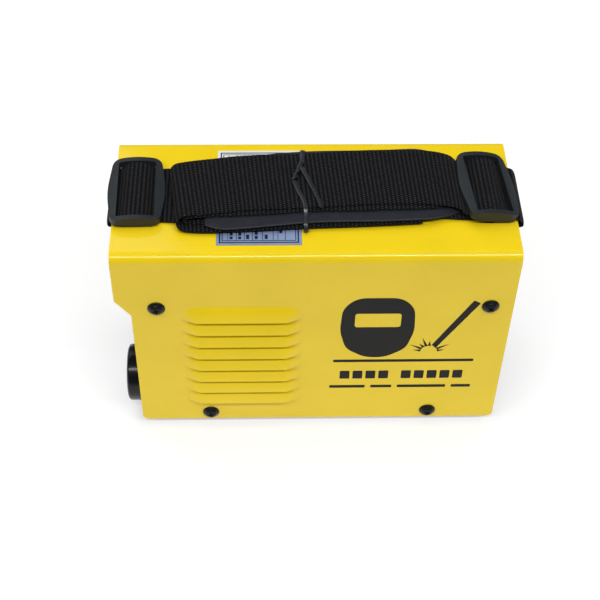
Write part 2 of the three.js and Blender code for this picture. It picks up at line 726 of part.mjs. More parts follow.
const buckleLength = 32; // at its middle, where its two end bars are widest
const buckleEndLength = 28;
const buckleWidth = 53;
const windowLength = 8.1;
const windowX = 6.6; // from the buckle's middle to each window's middle
const buckleThickness = 3.4;
const buckleArch = 2.2;
const buckleZ = topZ + 2.3; // its lower edges, over one layer of webbing
const rearTilt = THREE.MathUtils.degToRad(12); // the rear buckle leans down to the rear
const frontBuckle = { x: frontX + 13.1, z: buckleZ, tilt: 0 };
const rearBuckle = { x: rearX - 14.6, z: buckleZ + (buckleLength / 2) * Math.sin(rearTilt), tilt: rearTilt };

const bundleStart = frontX + 34;
const bundleEnd = frontX + 197;
const bundleLow = topZ + 1.7; // over the twist tie's lower side
const foldsHeight = 2 * webThickness + gap;
const padLow = bundleLow + foldsHeight + gap;
const padThickness = 2.8;
const topRunLow = padLow + padThickness + gap;

/** An arc of [x, z] points about a centre, angles in degrees. */
function arcPoints(x, z, radius, from, to, count) {
  return Array.from({ length: count }, (_, i) => {
    const angle = THREE.MathUtils.degToRad(from + ((to - from) * i) / (count - 1));
    return [x + radius * Math.cos(angle), z + radius * Math.sin(angle)];
  });
}

/** A three-bar slide buckle, arched along X, its ends at z = 0. */
function makeBuckle() {
  const [middle, end, half, corner] = [buckleLength / 2, buckleEndLength / 2, buckleWidth / 2, 4];
  const shape = outline([
    [-end, -half + corner], [-end + corner, -half], [end - corner, -half], [end, -half + corner], [middle, 0],
    [end, half - corner], [end - corner, half], [-end + corner, half], [-end, half - corner], [-middle, 0],
  ]);
  for (const side of [-1, 1]) {
    const slot = roundRectangle(side * windowX, 0, windowLength, webWidth + 2, 1);
    shape.holes.push(new THREE.Path(slot.getPoints(2).reverse()));
  }
  const radius = (buckleLength ** 2 / 4 + buckleArch ** 2) / (2 * buckleArch);
  const halfAngle = THREE.MathUtils.radToDeg(Math.asin(buckleLength / 2 / radius)) + 1;
  const arc = (r) => arcPoints(0, buckleArch - radius, r, 90 - halfAngle, 90 + halfAngle, 7);
  const arched = outline([...arc(radius), ...arc(radius + buckleThickness).reverse()]);
  return alongZ(shape, -2, buckleArch + buckleThickness + 1, 3).intersect(alongY(arched, -40, 40));
}

/** A strip of webbing through [x, z] points. */
function makeStrip(points) {
  const half = webThickness / 2;
  const left = [];
  const right = [];
  points.forEach(([x, z], i) => {
    const [ax, az] = points[Math.max(0, i - 1)];
    const [bx, bz] = points[Math.min(points.length - 1, i + 1)];
    const length = Math.hypot(bx - ax, bz - az);
    const [nx, nz] = [-(bz - az) / length, (bx - ax) / length];
    left.push([x + nx * half, z + nz * half]);
    right.push([x - nx * half, z - nz * half]);
  });
  return alongY(outline([...right, ...left.reverse()]), strapY - webWidth / 2, strapY + webWidth / 2);
}

/**
 * The strap's end loop at one end of the roof: from runX through the buckle, over the edge, back under the
 * roof and up to the slot. dir points from the edge into the case.
 */
function makeEndLoop(edgeX, dir, reach, buckle, runX) {
  const [cos, sin] = [Math.cos(buckle.tilt), Math.sin(buckle.tilt)];
  const inBuckle = (inward, height) => {
    const along = dir * inward;
    return [buckle.x + along * cos + height * sin, buckle.z - along * sin + height * cos];
  };
  const below = -0.3 - webThickness / 2;
  const over = buckleArch + buckleThickness + 0.5 + webThickness / 2;
  const threaded = [[14, below], [9.8, below], [4.5, over], [-4.5, over], [-9.8, below], [-14, below]];
  const roofMiddle = topZ - sheet / 2;
  const radius = buckleZ + below - roofMiddle;
  const turnX = edgeX - dir * (reach - radius - webThickness / 2);
  const bend = arcPoints(0, roofMiddle, radius, 90, 270, 7).map(([x, z]) => [turnX + dir * x, z]);
  const slotX = edgeX + dir * ((slotNear + slotFar) / 2);
  const under = roofMiddle - radius;
  return makeStrip([
    [runX, inBuckle(14, below)[1]],
    ...threaded.map(([inward, height]) => inBuckle(inward, height)),
    ...bend,
    [slotX - dir * 3, under], [slotX - dir * 0.3, under + 1.2], [slotX, topZ + 0.2],
  ]);
}

/** A flat stack of webbing as one solid with round ends, centred across on y = 0. */
function makeStack(x0, x1, low, high) {
  const height = high - low;
  const section = roundRectangle((x0 + x1) / 2, (low + high) / 2, x1 - x0, height, 0.49 * height);
  return alongY(section, -webWidth / 2, webWidth / 2, 3);
}

/** The shoulder pad, tapered to the webbing's width at both ends. */
function makePad() {
  const shape = outline([
    [-72, -17], [-54, -29.5], [54, -29.5], [72, -17], [72, 17], [54, 29.5], [-54, 29.5], [-72, 17],
  ]);
  return alongZ(shape, padLow, padLow + padThickness);
}

/** The twist tie round the folded strap, from y0 to y1. */
function makeTie(y0, y1) {
  const [low, high] = [topZ + 0.4, topRunLow + webThickness + 1.2];
  const shape = roundRectangle((y0 + y1) / 2, (low + high) / 2, y1 - y0, high - low, 5);
  const inside = roundRectangle((y0 + y1) / 2, (low + high) / 2, y1 - y0 - 1.8, high - low - 1.8, 4.1);
  shape.holes.push(new THREE.Path(inside.getPoints(2).reverse()));
  return alongX(shape, frontX + 108.5, frontX + 111, 2);
}

// ---------------------------------------------------------------- assembly

add('cover', makeCover(), yellowPaint);
add('base_tray', makeTray(), blackPaint);
add('front_panel', makeFrontPanel(), blackPaint);
add('rear_panel', makeRearPanel(), blackPaint);

const foot = makeFoot();
for (const [name, x, y] of footPlaces) add(name, foot, rubber).position.set(x, y, 0);

const coverScrew = makeScrew(screwHeadRadius, screwShankRadius, 8);
for (const [sideName, side] of [['right', -1], ['left', 1]]) {
  for (const [place, x, z] of screwPlaces) {
    const screw = add(`cover_screw_${sideName}_${place}`, coverScrew, blackScrew);
    screw.position.set(x, side * (halfWidth + gap), z);
    screw.rotation.x = (-side * Math.PI) / 2;
  }
}

for (const [pole, side] of [['negative', -1], ['positive', 1]]) {
  add(`socket_${pole}`, makeSocketBody(side * socketY), glossPlastic);
  add(`socket_${pole}_contact`, makeSocketContact(side * socketY), brass);
  add(`socket_${pole}_nut`, makeSocketNut(side * socketY), zincSteel);
  add(`busbar_${pole}`, makeBusbar(side * socketY), copper);
}

add('current_knob', makeKnob(), mattePlastic);
add('potentiometer', makePotentiometer(), zincSteel);
add('potentiometer_shaft', makeShaft(), aluminium);
add('display_lens', makeDisplayLens(), smokedLens);
add('display_board', makeDisplayBoard(), board);
add('power_lamp', makeLamp(displayY - 8), greenLed);
add('fault_lamp', makeLamp(displayY + 8), amberLed);

add('fan_frame', makeFanFrame(), mattePlastic);
add('fan_rotor', makeFanRotor(), mattePlastic);
const fanScrew = makeScrew(3.8, 1.7, 14);
for (const [name, y, z] of fanScrewPlaces) {
  const screw = add(name, fanScrew, blackScrew);
  screw.position.set(rearPanelX + gap, y, z);
  screw.rotation.y = Math.PI / 2;
}

add('power_switch_body', makeSwitchBody(), mattePlastic);
const rocker = add('power_switch_rocker', makeRocker(), glossPlastic);
rocker.position.set(rearPanelX + 1, switchY, rearLowZ);
rocker.rotation.y = rockerAngle;
add('cable_gland', makeGlandBody(), mattePlastic);
add('cable_gland_cap', makeGlandCap(), mattePlastic);
add('cable_gland_nut', makeGlandNut(), mattePlastic);

add('main_board', makeMainBoard(), board);
add('heatsink_right', makeHeatsink(-1), aluminium);
add('heatsink_left', makeHeatsink(1), aluminium);
add('transformer_core', makeCore(), ferrite);
add('transformer_winding', makeWinding(), tape);
add('output_choke', makeChoke(), copper);
add('bus_capacitor_front', makeCapacitor(frontX + 120), sleeve);
add('bus_capacitor_rear', makeCapacitor(frontX + 148), sleeve);
add('bridge_rectifier', makeRectifier(), ferrite);

add('strap_front_loop', makeEndLoop(frontX, 1, frontWrap, frontBuckle, bundleStart - 2), webbing);
add('strap_rear_loop', makeEndLoop(rearX, -1, rearWrap, rearBuckle, bundleEnd + 2), webbing);
const buckle = makeBuckle();
for (const [name, place, yaw] of [['buckle_front', frontBuckle, 1], ['buckle_rear', rearBuckle, 4]]) {
  const mesh = add(name, buckle, mattePlastic);
  mesh.position.set(place.x, strapY, place.z);
  mesh.rotation.set(0, place.tilt, THREE.MathUtils.degToRad(yaw));
}

// Each layer of the folded strap lies at its own slight angle on the roof.
const layers = [
  ['strap_folds', makeStack(-72, 72, bundleLow, bundleLow + foldsHeight), webbing, frontX + 106, -6.9, 2.9],
  ['shoulder_pad', makePad(), padSkin, frontX + 122.5, 0.6, 4.4],
  ['strap_top_run', makeStack(-81, 81, topRunLow, topRunLow + webThickness), webbing, frontX + 116, 2.4, 3.2],
];
for (const [name, layer, material, x, y, angle] of layers) {
  const mesh = add(name, layer, material);
  mesh.position.set(x, y, 0);
  mesh.rotation.z = THREE.MathUtils.degToRad(angle);
}
add('twist_tie', makeTie(-33.8, 31.4), rubber);
add('rating_label', block(frontX + 59, frontX + 107, -39, 39, topZ + 0.1, topZ + 0.3), labelPaper);

export default part;
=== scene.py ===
"""Looks of the inverter stick welder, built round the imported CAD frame. Metres, +Z up, -X is the front."""

import json
import math
import random

import bmesh
import bpy
from mathutils import Matrix, Vector
from mathutils.geometry import tessellate_polygon


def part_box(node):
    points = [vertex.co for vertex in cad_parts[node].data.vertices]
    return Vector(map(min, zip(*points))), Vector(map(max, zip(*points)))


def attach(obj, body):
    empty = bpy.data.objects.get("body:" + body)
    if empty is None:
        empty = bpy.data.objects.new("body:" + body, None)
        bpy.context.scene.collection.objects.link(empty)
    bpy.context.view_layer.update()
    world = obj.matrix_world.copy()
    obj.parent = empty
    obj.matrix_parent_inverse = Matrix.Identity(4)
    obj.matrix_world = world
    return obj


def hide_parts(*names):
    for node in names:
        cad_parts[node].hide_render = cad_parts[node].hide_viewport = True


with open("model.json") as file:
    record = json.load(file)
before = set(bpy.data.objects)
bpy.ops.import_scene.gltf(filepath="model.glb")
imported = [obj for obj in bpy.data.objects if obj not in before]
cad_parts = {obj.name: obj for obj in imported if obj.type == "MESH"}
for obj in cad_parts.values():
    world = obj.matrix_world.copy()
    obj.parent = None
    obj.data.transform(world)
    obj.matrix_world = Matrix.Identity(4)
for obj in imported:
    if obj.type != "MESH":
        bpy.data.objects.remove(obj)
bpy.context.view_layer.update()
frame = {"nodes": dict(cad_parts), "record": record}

MM = 0.001
CASE = "case"

# ---------------------------------------------------------------- places, in millimetres, from the frame


def box_mm(node):
    """A CAD node's lowest and highest corners in millimetres."""
    low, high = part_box(node)
    return [c / MM for c in low], [c / MM for c in high]


(FRONT, _, BASE), (REAR, _, ROOF) = box_mm("cover")
HALF = 48.5  # half the case's width over the sheet
SHEET = 1.2
BEND = 5.5
HOOD_HEIGHT, HOOD_DEPTH, HOOD_SLOPE = 35.4, 9.0, 12.6
LOUVRES, LOUVRE_PITCH, LOUVRE_LENGTH, LOUVRE_HEIGHT = 8, 10.8, 71.0, 9.6
LOUVRE_DEPTH = 4.3
LOUVRE_X = FRONT + 72.6
TOP_LIP = BASE + 96.4
SLOTS = ((FRONT + 13.5, FRONT + 18.5), (REAR - 18.5, REAR - 13.5))
STRAP_Y = 0.5
SLOT_LOW, SLOT_HIGH = STRAP_Y - 22.6, STRAP_Y + 22.6
PANEL_X = box_mm("front_panel")[0][0]
REAR_PANEL_X = box_mm("rear_panel")[1][0]

# ---------------------------------------------------------------- camera

FOCAL_PIXELS = 1317.2  # at 600 pixels across
CAMERA_AT = (-34.0, -548.8, 679.4)
AZIMUTH, ELEVATION, ROLL = (math.radians(a) for a in (-2.477, 48.274, 1.458))


def make_camera():
    back = Vector((
        math.sin(AZIMUTH) * math.cos(ELEVATION),
        -math.cos(AZIMUTH) * math.cos(ELEVATION),
        math.sin(ELEVATION),
    ))
    level = (-back).cross(Vector((0, 0, 1))).normalized()
    upward = level.cross(-back)
    right = math.cos(ROLL) * level + math.sin(ROLL) * upward
    up = math.cos(ROLL) * upward - math.sin(ROLL) * level
    data = bpy.data.cameras.new("camera")
    data.sensor_width = 36
    data.lens = FOCAL_PIXELS / 600 * 36
    camera = bpy.data.objects.new("camera", data)
    turn = Matrix((right, up, back)).transposed().to_4x4()
    camera.matrix_world = Matrix.Translation(Vector(CAMERA_AT) * MM) @ turn
    bpy.context.collection.objects.link(camera)
    bpy.context.scene.camera = camera
    bpy.context.scene.view_settings.view_transform = "Standard"


make_camera()

# ---------------------------------------------------------------- materials


class Look:
    """A node material, built up from a Principled shader."""

    def __init__(self, name, color=None, rough=0.5, metal=0.0, **sockets):
        self.material = bpy.data.materials.new(name)
        self.material.use_nodes = True
        self.tree = self.material.node_tree
        self.shader = self.tree.nodes["Principled BSDF"]
        self.set("Roughness", rough)
        self.set("Metallic", metal)
        if color:
            self.set("Base Color", (*color, 1))
        for socket, value in sockets.items():
            self.set(socket.replace("_", " "), value)

    def set(self, socket, value):
        self.shader.inputs[socket].default_value = value

    def node(self, kind, inputs=(), **settings):
        node = self.tree.nodes.new(kind)
        for name, value in settings.items():
            setattr(node, name, value)
        for socket, value in dict(inputs).items():
            if isinstance(value, bpy.types.NodeSocket):
                self.tree.links.new(value, node.inputs[socket])
            else:
                node.inputs[socket].default_value = value
        return node

    def place(self, source="Object", stretch=(1, 1, 1)):
        coords = self.node("ShaderNodeTexCoord").outputs[source]
        return self.node("ShaderNodeMapping", {"Vector": coords, "Scale": stretch}).outputs[0]

    def noise(self, size, detail=3, roughness=0.55, stretch=(1, 1, 1)):
        """Noise whose largest lumps are about size millimetres across."""
        return self.node("ShaderNodeTexNoise", {
            "Vector": self.place(stretch=stretch), "Scale": 1 / (size * MM), "Detail": detail, "Roughness": roughness,
        }).outputs["Fac"]

    def cells(self, size, feature="F1", stretch=(1, 1, 1)):
        return self.node("ShaderNodeTexVoronoi", {
            "Vector": self.place(stretch=stretch), "Scale": 1 / (size * MM),
        }, feature=feature).outputs["Distance"]

    def math(self, operation, a, b=0.0, c=0.0):
        return self.node("ShaderNodeMath", {0: a, 1: b, 2: c}, operation=operation).outputs[0]

    def span(self, value, low, high, from_low=0.0, from_high=1.0):
        return self.node("ShaderNodeMapRange", {
            "Value": value, "From Min": from_low, "From Max": from_high, "To Min": low, "To Max": high,
        }).outputs[0]

    def ramp(self, value, *stops):
        node = self.node("ShaderNodeValToRGB", {"Fac": value})
        elements = node.color_ramp.elements
        while len(elements) < len(stops):
            elements.new(0.5)
        for element, (position, color) in zip(elements, stops):
            element.position = position
            element.color = (*color, 1)
        return node.outputs[0]

    def mix(self, share, a, b):
        node = self.node("ShaderNodeMix", {"Factor": share}, data_type="RGBA")
        for socket, value in ((node.inputs[6], a), (node.inputs[7], b)):
            if isinstance(value, bpy.types.NodeSocket):
                self.tree.links.new(value, socket)
            else:
                socket.default_value = (*value, 1)
        return node.outputs[2]

    def wire(self, socket, value):
        self.tree.links.new(value, self.shader.inputs[socket])
        return self

    def bump(self, height, depth, strength=1.0):
        """Bump from a height of 0 to 1 that stands for depth millimetres."""
        normal = self.node("ShaderNodeBump", {"Height": height, "Strength": strength, "Distance": depth * MM})
        return self.wire("Normal", normal.outputs[0])


def shade(color, factor):
    return tuple(min(1.0, c * factor) for c in color)


def mottled(name, color, rough, spread=0.12, size=6.0, grain=0.0, grain_size=0.3, **more):
    """A finish whose colour and gloss vary a little, with a fine grain if it has one."""
    look = Look(name, rough=rough, **more)
    cloud = look.noise(size, 4)
    look.wire("Base Color", look.ramp(cloud, (0.3, shade(color, 1 - spread)), (0.7, shade(color, 1 + spread))))
    look.wire("Roughness", look.span(look.noise(size / 4, 3), rough * 0.85, rough * 1.15, 0.3, 0.7))
    if grain:
        look.bump(look.noise(grain_size, 2), grain)
    return look


YELLOW = (0.84, 0.61, 0.011)


def yellow_paint():
    """Powder coat: glossy, with a faint orange peel and a little unevenness."""
    look = Look("yellow_powder_coat", rough=0.1, Specular_IOR_Level=0.4)
    cloud = look.noise(38, 3)
    look.wire("Base Color", look.ramp(cloud, (0.3, shade(YELLOW, 0.97)), (0.7, shade(YELLOW, 1.03))))
    look.wire("Roughness", look.span(look.noise(9, 4), 0.085, 0.125, 0.3, 0.7))
    return look.bump(look.noise(2.2, 2), 0.005, 0.3)


def black_paint():
    """Satin black powder coat with a fine leatherette texture."""
    look = Look("black_powder_coat", rough=0.42)
    look.wire("Base Color", look.ramp(look.noise(20, 3), (0.3, (0.016, 0.016, 0.018)), (0.7, (0.026, 0.026, 0.028))))
    look.wire("Roughness", look.span(look.noise(3, 3), 0.34, 0.5, 0.3, 0.7))
    return look.bump(look.cells(0.8, "SMOOTH_F1"), 0.06, 0.7)


def webbing_look():
    """Plain-woven webbing: ribs across its width, each a row of yarn crossings, with painted shade in the hollows and
    a painted highlight on the yarn tops. UV is in rows and yarns.
    """
    look = Look("woven_webbing", rough=0.8, Sheen_Weight=0.03, Sheen_Roughness=0.5, Specular_IOR_Level=0.12)
    parts = look.node("ShaderNodeSeparateXYZ", {"Vector": look.place("UV")}).outputs
    across, along = parts[0], parts[1]
    rib = look.math("ABSOLUTE", look.math("SINE", look.math("MULTIPLY", along, math.pi)))
    shift = look.math("MULTIPLY", look.math("MODULO", look.math("FLOOR", along), 2.0), 0.5)
    wave = look.math("SINE", look.math("MULTIPLY", look.math("ADD", across, shift), 2 * math.pi))
    knuckle = look.math("MULTIPLY_ADD", wave, 0.5, 0.5)
    height = look.math("MULTIPLY", look.math("POWER", rib, 0.7), look.math("MULTIPLY_ADD", knuckle, 0.6, 0.4))
    fuzz = look.noise(0.5, 3)
    # Painted shade between the yarns and a painted highlight on their crossings: the colour follows the weave's
    # height.
    weave_shade_and_highlight = look.math("MULTIPLY", height, look.span(fuzz, 0.6, 1.1, 0.3, 0.7))
    look.wire("Base Color", look.ramp(weave_shade_and_highlight, (0.1, (0.0012, 0.0012, 0.0016)), (0.55, (0.004, 0.0042, 0.005)),
                                      (0.88, (0.042, 0.044, 0.049))))
    look.wire("Roughness", look.span(fuzz, 0.6, 0.85, 0.3, 0.7))
    return look.bump(look.math("ADD", height, look.math("MULTIPLY", fuzz, 0.15)), 0.45)


def brushed(name, color, rough, stretch, metal=1.0):
    """Bare metal with fine lines along one axis."""
    look = Look(name, rough=rough, metal=metal)
    lines = look.noise(3, 4, 0.6, stretch)
    look.wire("Base Color", look.ramp(look.noise(9, 3), (0.3, shade(color, 0.86)), (0.7, shade(color, 1.06))))
    look.wire("Roughness", look.span(lines, rough * 0.75, rough * 1.3, 0.3, 0.7))
    return look.bump(lines, 0.015, 0.6)


def board_look():
    """Green solder mask over copper tracks, with tinned pads."""
    look = Look("circuit_board", rough=0.35)
    track = look.node("ShaderNodeTexBrick", {
        "Vector": look.place(), "Scale": 260.0, "Mortar Size": 0.018, "Color1": (0.012, 0.085, 0.03, 1),
        "Color2": (0.016, 0.105, 0.038, 1), "Mortar": (0.035, 0.17, 0.07, 1),
    }).outputs["Color"]
    pads = look.math("LESS_THAN", look.cells(3.4), 0.13)
    look.wire("Base Color", look.mix(pads, track, (0.5, 0.5, 0.48)))
    look.wire("Metallic", pads)
    return look.bump(look.noise(0.9, 2), 0.03)


def winding_look(name, color, pitch, metal, rough):
    """Closely wound wire or overlapped tape: fine bands round the coil."""
    look = Look(name, rough=rough, metal=metal)
    wave = look.node("ShaderNodeTexWave", {
        "Vector": look.place(), "Scale": 0.3 / (pitch * MM), "Distortion": 1.2, "Detail": 2.0,
    }, bands_direction="Z").outputs["Fac"]
    look.wire("Base Color", look.ramp(wave, (0.0, shade(color, 0.45)), (0.6, color), (1.0, shade(color, 1.15))))
    return look.bump(wave, 0.2)


def film_with_painted_reflection():
    """Silvery printed film: blue-grey towards the near side, paled by a painted reflection towards the far side."""
    look = Look("label_film", rough=0.3, Coat_Weight=0.2)
    across = look.node("ShaderNodeSeparateXYZ", {"Vector": look.place()}).outputs[1]
    share = look.span(across, 0.0, 1.0, -0.02, 0.025)
    cloud = look.noise(14, 3)
    near = look.ramp(cloud, (0.3, (0.19, 0.26, 0.42)), (0.7, (0.24, 0.31, 0.48)))
    # The pale far colour is a painted reflection of the light, blended in towards the far side.
    far = look.ramp(cloud, (0.3, (0.70, 0.71, 0.72)), (0.7, (0.76, 0.77, 0.78)))
    look.wire("Base Color", look.mix(share, near, far))
    return look.bump(look.noise(1.1, 2), 0.01)


LOOKS = {
    "case_yellow": yellow_paint(),
    "case_black": black_paint(),
    "screw_black": mottled("oxide_screw", (0.006, 0.006, 0.007), 0.3, 0.3, 1.2, 0.02, 0.2,
                          Specular_IOR_Level=0.22),
    "zinc_steel": brushed("zinc_steel", (0.52, 0.53, 0.55), 0.34, (1, 8, 1)),
    "socket_plastic": mottled("gloss_black_plastic", (0.006, 0.0065, 0.008), 0.22, 0.1, 9, 0.006, 0.8,
                              Specular_IOR_Level=0.28),
    "black_plastic": mottled("matte_black_plastic", (0.018, 0.019, 0.021), 0.5, 0.12, 7, 0.03, 0.25),
    "foot_rubber": mottled("foot_rubber", (0.018, 0.018, 0.018), 0.8, 0.15, 5, 0.05, 0.4),
    "webbing": webbing_look(),
    "shoulder_pad": mottled("slate_rubber_pad", (0.012, 0.014, 0.021), 0.42, 0.1, 12, 0.02, 0.6,
                            Specular_IOR_Level=0.35),
    "buckle_plastic": mottled("buckle_plastic", (0.017, 0.021, 0.024), 0.46, 0.1, 8, 0.03, 0.22,
                              Specular_IOR_Level=0.4),
    "tie_plastic": mottled("tie_plastic", (0.022, 0.024, 0.027), 0.28, 0.15, 2, 0.01, 0.3),
    "brass_contact": brushed("turned_brass", (0.72, 0.50, 0.18), 0.24, (8, 1, 1)),
    "copper_bar": brushed("bare_copper", (0.70, 0.32, 0.16), 0.32, (1, 8, 1)),
    "aluminium": brushed("extruded_aluminium", (0.60, 0.61, 0.63), 0.38, (0.1, 6, 6)),
    "circuit_board": board_look(),
    "ferrite": mottled("ferrite", (0.035, 0.035, 0.038), 0.55, 0.2, 3, 0.06, 0.5),
    "winding_tape": winding_look("winding_tape", (0.55, 0.36, 0.05), 3.2, 0.0, 0.4),
    "enamelled_wire": winding_look("enamelled_wire", (0.42, 0.13, 0.04), 1.1, 0.7, 0.3),
    "capacitor_sleeve": mottled("capacitor_sleeve", (0.015, 0.024, 0.09), 0.3, 0.1, 8, 0.015, 1.2),
    "component_black": mottled("moulded_epoxy", (0.02, 0.02, 0.021), 0.6, 0.15, 3, 0.05, 0.3),
    "label_film": film_with_painted_reflection(),
    "display_lens": mottled("smoked_lens", (0.03, 0.004, 0.005), 0.08, 0.1, 20, 0.004, 3, Coat_Weight=0.5),
    "lamp_green": mottled("green_lamp", (0.03, 0.45, 0.09), 0.2, 0.1, 2, 0.01, 0.5, Transmission_Weight=0.3),
    "lamp_amber": mottled("amber_lamp", (0.9, 0.36, 0.03), 0.2, 0.1, 2, 0.01, 0.5, Transmission_Weight=0.3),
}
INK = mottled("black_print", (0.006, 0.006, 0.007), 0.36, 0.2, 4, 0.004, 1.0, Specular_IOR_Level=0.15)
LABEL_INK = mottled("label_print", (0.012, 0.016, 0.045), 0.35, 0.2, 3, 0.004, 1.0)
PALE_INK = mottled("pale_print", (0.62, 0.63, 0.62), 0.5, 0.06, 3, 0.004, 1.0)

for row in frame["record"]["subparts"]:
    node = frame["nodes"][row["node"]]
    node.data.materials.clear()
    node.data.materials.append(LOOKS[row["material_slot"]].material)

# ---------------------------------------------------------------- pieces


def bake_modifiers(piece):
    if piece.modifiers:
        seen = piece.evaluated_get(bpy.context.evaluated_depsgraph_get())
        mesh = bpy.data.meshes.new_from_object(seen)
        piece.modifiers.clear()
        piece.data = mesh


def settle(piece, smooth=35):
    """
    Applies a piece's modifiers, then shades it smooth between faces that meet under the given angle, with
    the large faces kept flat.
    """
    bake_modifiers(piece)
    piece.data.shade_smooth()
    piece.data.set_sharp_from_angle(angle=math.radians(smooth))
    even = piece.modifiers.new("even", "WEIGHTED_NORMAL")
    even.keep_sharp = True
    bake_modifiers(piece)
    return piece


def bare(name, mesh):
    piece = bpy.data.objects.new(name, mesh)
    bpy.context.collection.objects.link(piece)
    return piece


def from_mesh(name, mesh, slot, replaces=(), body=CASE, look=None):
    piece = bare(name, mesh)
    mesh.materials.clear()
    mesh.materials.append((look or LOOKS[slot]).material)
    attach(piece, body)
    if replaces:
        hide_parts(*replaces)
    return piece


def mesh_of(name, points, faces):
    """A mesh from points in millimetres, with doubled points merged."""
    mesh = bpy.data.meshes.new(name)
    mesh.from_pydata([[c * MM for c in p] for p in points], [], faces)
    edit(mesh, lambda bm: bmesh.ops.remove_doubles(bm, verts=bm.verts, dist=0.001 * MM))
    return mesh


def edit(mesh, change):
    bm = bmesh.new()
    bm.from_mesh(mesh)
    change(bm)
    bm.to_mesh(mesh)
    bm.free()


def outward(mesh):
    edit(mesh, lambda bm: bmesh.ops.recalc_face_normals(bm, faces=bm.faces))
    return mesh


def bevel(piece, width, segments=2, angle=35):
    made = piece.modifiers.new("bevel", "BEVEL")
    made.width = width * MM
    made.segments = segments
    made.limit_method = "ANGLE"
    made.angle_limit = math.radians(angle)
    made.harden_normals = False
    return piece


def joined(name, meshes):
    """One mesh from several."""
    whole = bmesh.new()
    for mesh in meshes:
        whole.from_mesh(mesh)
    mesh = bpy.data.meshes.new(name)
    whole.to_mesh(mesh)
    whole.free()
    return mesh


def fillet(points, radius, closed=False, steps=5):
    """The corners of a 2-D line of points, rounded. A point may end in a radius of its own."""
    out = []
    count = len(points)
    for i, point in enumerate(points):
        r = point[2] if len(point) > 2 else radius
        here = Vector(point[:2])
        if (not closed and i in (0, count - 1)) or r <= 0:
            out.append(here)
            continue
        before, after = (Vector(points[(i + k) % count][:2]) for k in (-1, 1))
        a, b = (before - here), (after - here)
        reach = min(r, a.length * 0.49, b.length * 0.49)
        start, end = here + a.normalized() * reach, here + b.normalized() * reach
        for k in range(steps + 1):
            t = k / steps
            out.append((1 - t) ** 2 * start + 2 * t * (1 - t) * here + t * t * end)
    return out


def lathe(profile, axis, centre, segments=64, radius=0.35):
    """A closed profile of (radius, height) turned about an axis through centre, corners rounded."""
    line = fillet(profile, radius, closed=profile[0][0] > 0 or profile[-1][0] > 0)
    points, faces = [], []
    rows = len(line)
    for k in range(segments):
        angle = 2 * math.pi * k / segments
        c, s = math.cos(angle), math.sin(angle)
        for r, h in line:
            spot = {"x": (h, r * c, r * s), "y": (r * s, h, r * c), "z": (r * c, r * s, h)}[axis]
            points.append([a + b for a, b in zip(spot, centre)])
    ends = rows if profile[0][0] > 0 or profile[-1][0] > 0 else rows - 1
    for k in range(segments):
        a, b = k * rows, (k + 1) % segments * rows
        for i in range(ends):
            j = (i + 1) % rows
            faces.append((a + i, a + j, b + j, b + i))
    mesh = mesh_of("lathe", points, faces)

    def clean(bm):
        bmesh.ops.dissolve_degenerate(bm, dist=0.0005 * MM, edges=bm.edges)
        bmesh.ops.recalc_face_normals(bm, faces=bm.faces)

    edit(mesh, clean)
    return mesh


def prism(outline, low, high, put):
    """A filled outline, with put(u, v, w) placing its points, between w = low and w = high."""
    count = len(outline)
    points = [put(p[0], p[1], w) for w in (low, high) for p in outline]
    faces = [tuple(range(count)), tuple(range(count, 2 * count))]
    faces += [(i, (i + 1) % count, (i + 1) % count + count, i + count) for i in range(count)]
    return outward(mesh_of("prism", points, faces))


def rectangle(u0, u1, v0, v1, radius=0.0, steps=5):
    corners = [(u0, v0), (u1, v0), (u1, v1), (u0, v1)]
    return fillet(corners, radius, closed=True, steps=steps) if radius else corners


def cut(piece, tools, operation="DIFFERENCE"):
    """Cuts a piece with meshes."""
    for mesh in tools:
        tool = bare("tool", mesh)
        made = piece.modifiers.new("cut", "BOOLEAN")
        made.operation = operation
        made.solver = "EXACT"
        made.object = tool
        seen = piece.evaluated_get(bpy.context.evaluated_depsgraph_get())
        result = bpy.data.meshes.new_from_object(seen)
        piece.modifiers.clear()
        piece.data = result
        bpy.data.objects.remove(tool)
    return piece


def refined(node, width=0.25, body=CASE, dissolve=1.0):
    """A CAD node with its edges softened."""
    mesh = frame["nodes"][node].data.copy()
    row = next(r for r in frame["record"]["subparts"] if r["node"] == node)

    def clean(bm):
        bmesh.ops.remove_doubles(bm, verts=bm.verts, dist=0.002 * MM)
        bmesh.ops.dissolve_limit(bm, angle_limit=math.radians(dissolve), verts=bm.verts, edges=bm.edges)

    edit(mesh, clean)
    if mesh.has_custom_normals:
        mesh.free_normals_split() if hasattr(mesh, "free_normals_split") else None
    piece = from_mesh("fine_" + node, mesh, row["material_slot"], [node], body)
    return settle(bevel(piece, width), 40)


# ---------------------------------------------------------------- cover


def louvre_rise(x, z, lip):
    """How far the cover stands out at (x, z) for the louvre whose lip is at that height."""
    straight = LOUVRE_LENGTH / 2 - LOUVRE_HEIGHT
    dx = max(0.0, abs(x - LOUVRE_X) - straight)
    s = math.hypot(dx, z - lip) / LOUVRE_HEIGHT
    if s >= 1 or z < lip:
        return 0.0
    edge = 0.12
    fall = 0.8 * s + 0.2 * s ** 3
    rise = 1 - fall
    if s > 1 - edge:  # a soft foot where the form meets the panel
        rise *= ((1 - s) / edge) ** 0.6
    return LOUVRE_DEPTH * rise


def cover_columns():
    """The x of the side grid's columns: round the louvres' ends and middle, then five more behind them."""
    reach = LOUVRE_LENGTH / 2
    end = [reach - LOUVRE_HEIGHT * k / 12 for k in range(13)]
    middle = [LOUVRE_X - 17, LOUVRE_X - 6, LOUVRE_X + 6, LOUVRE_X + 17]
    xs = sorted([LOUVRE_X - e for e in end] + middle + [LOUVRE_X + e for e in end])
    return xs + [LOUVRE_X + reach + 20 + 15 * k for k in range(5)]


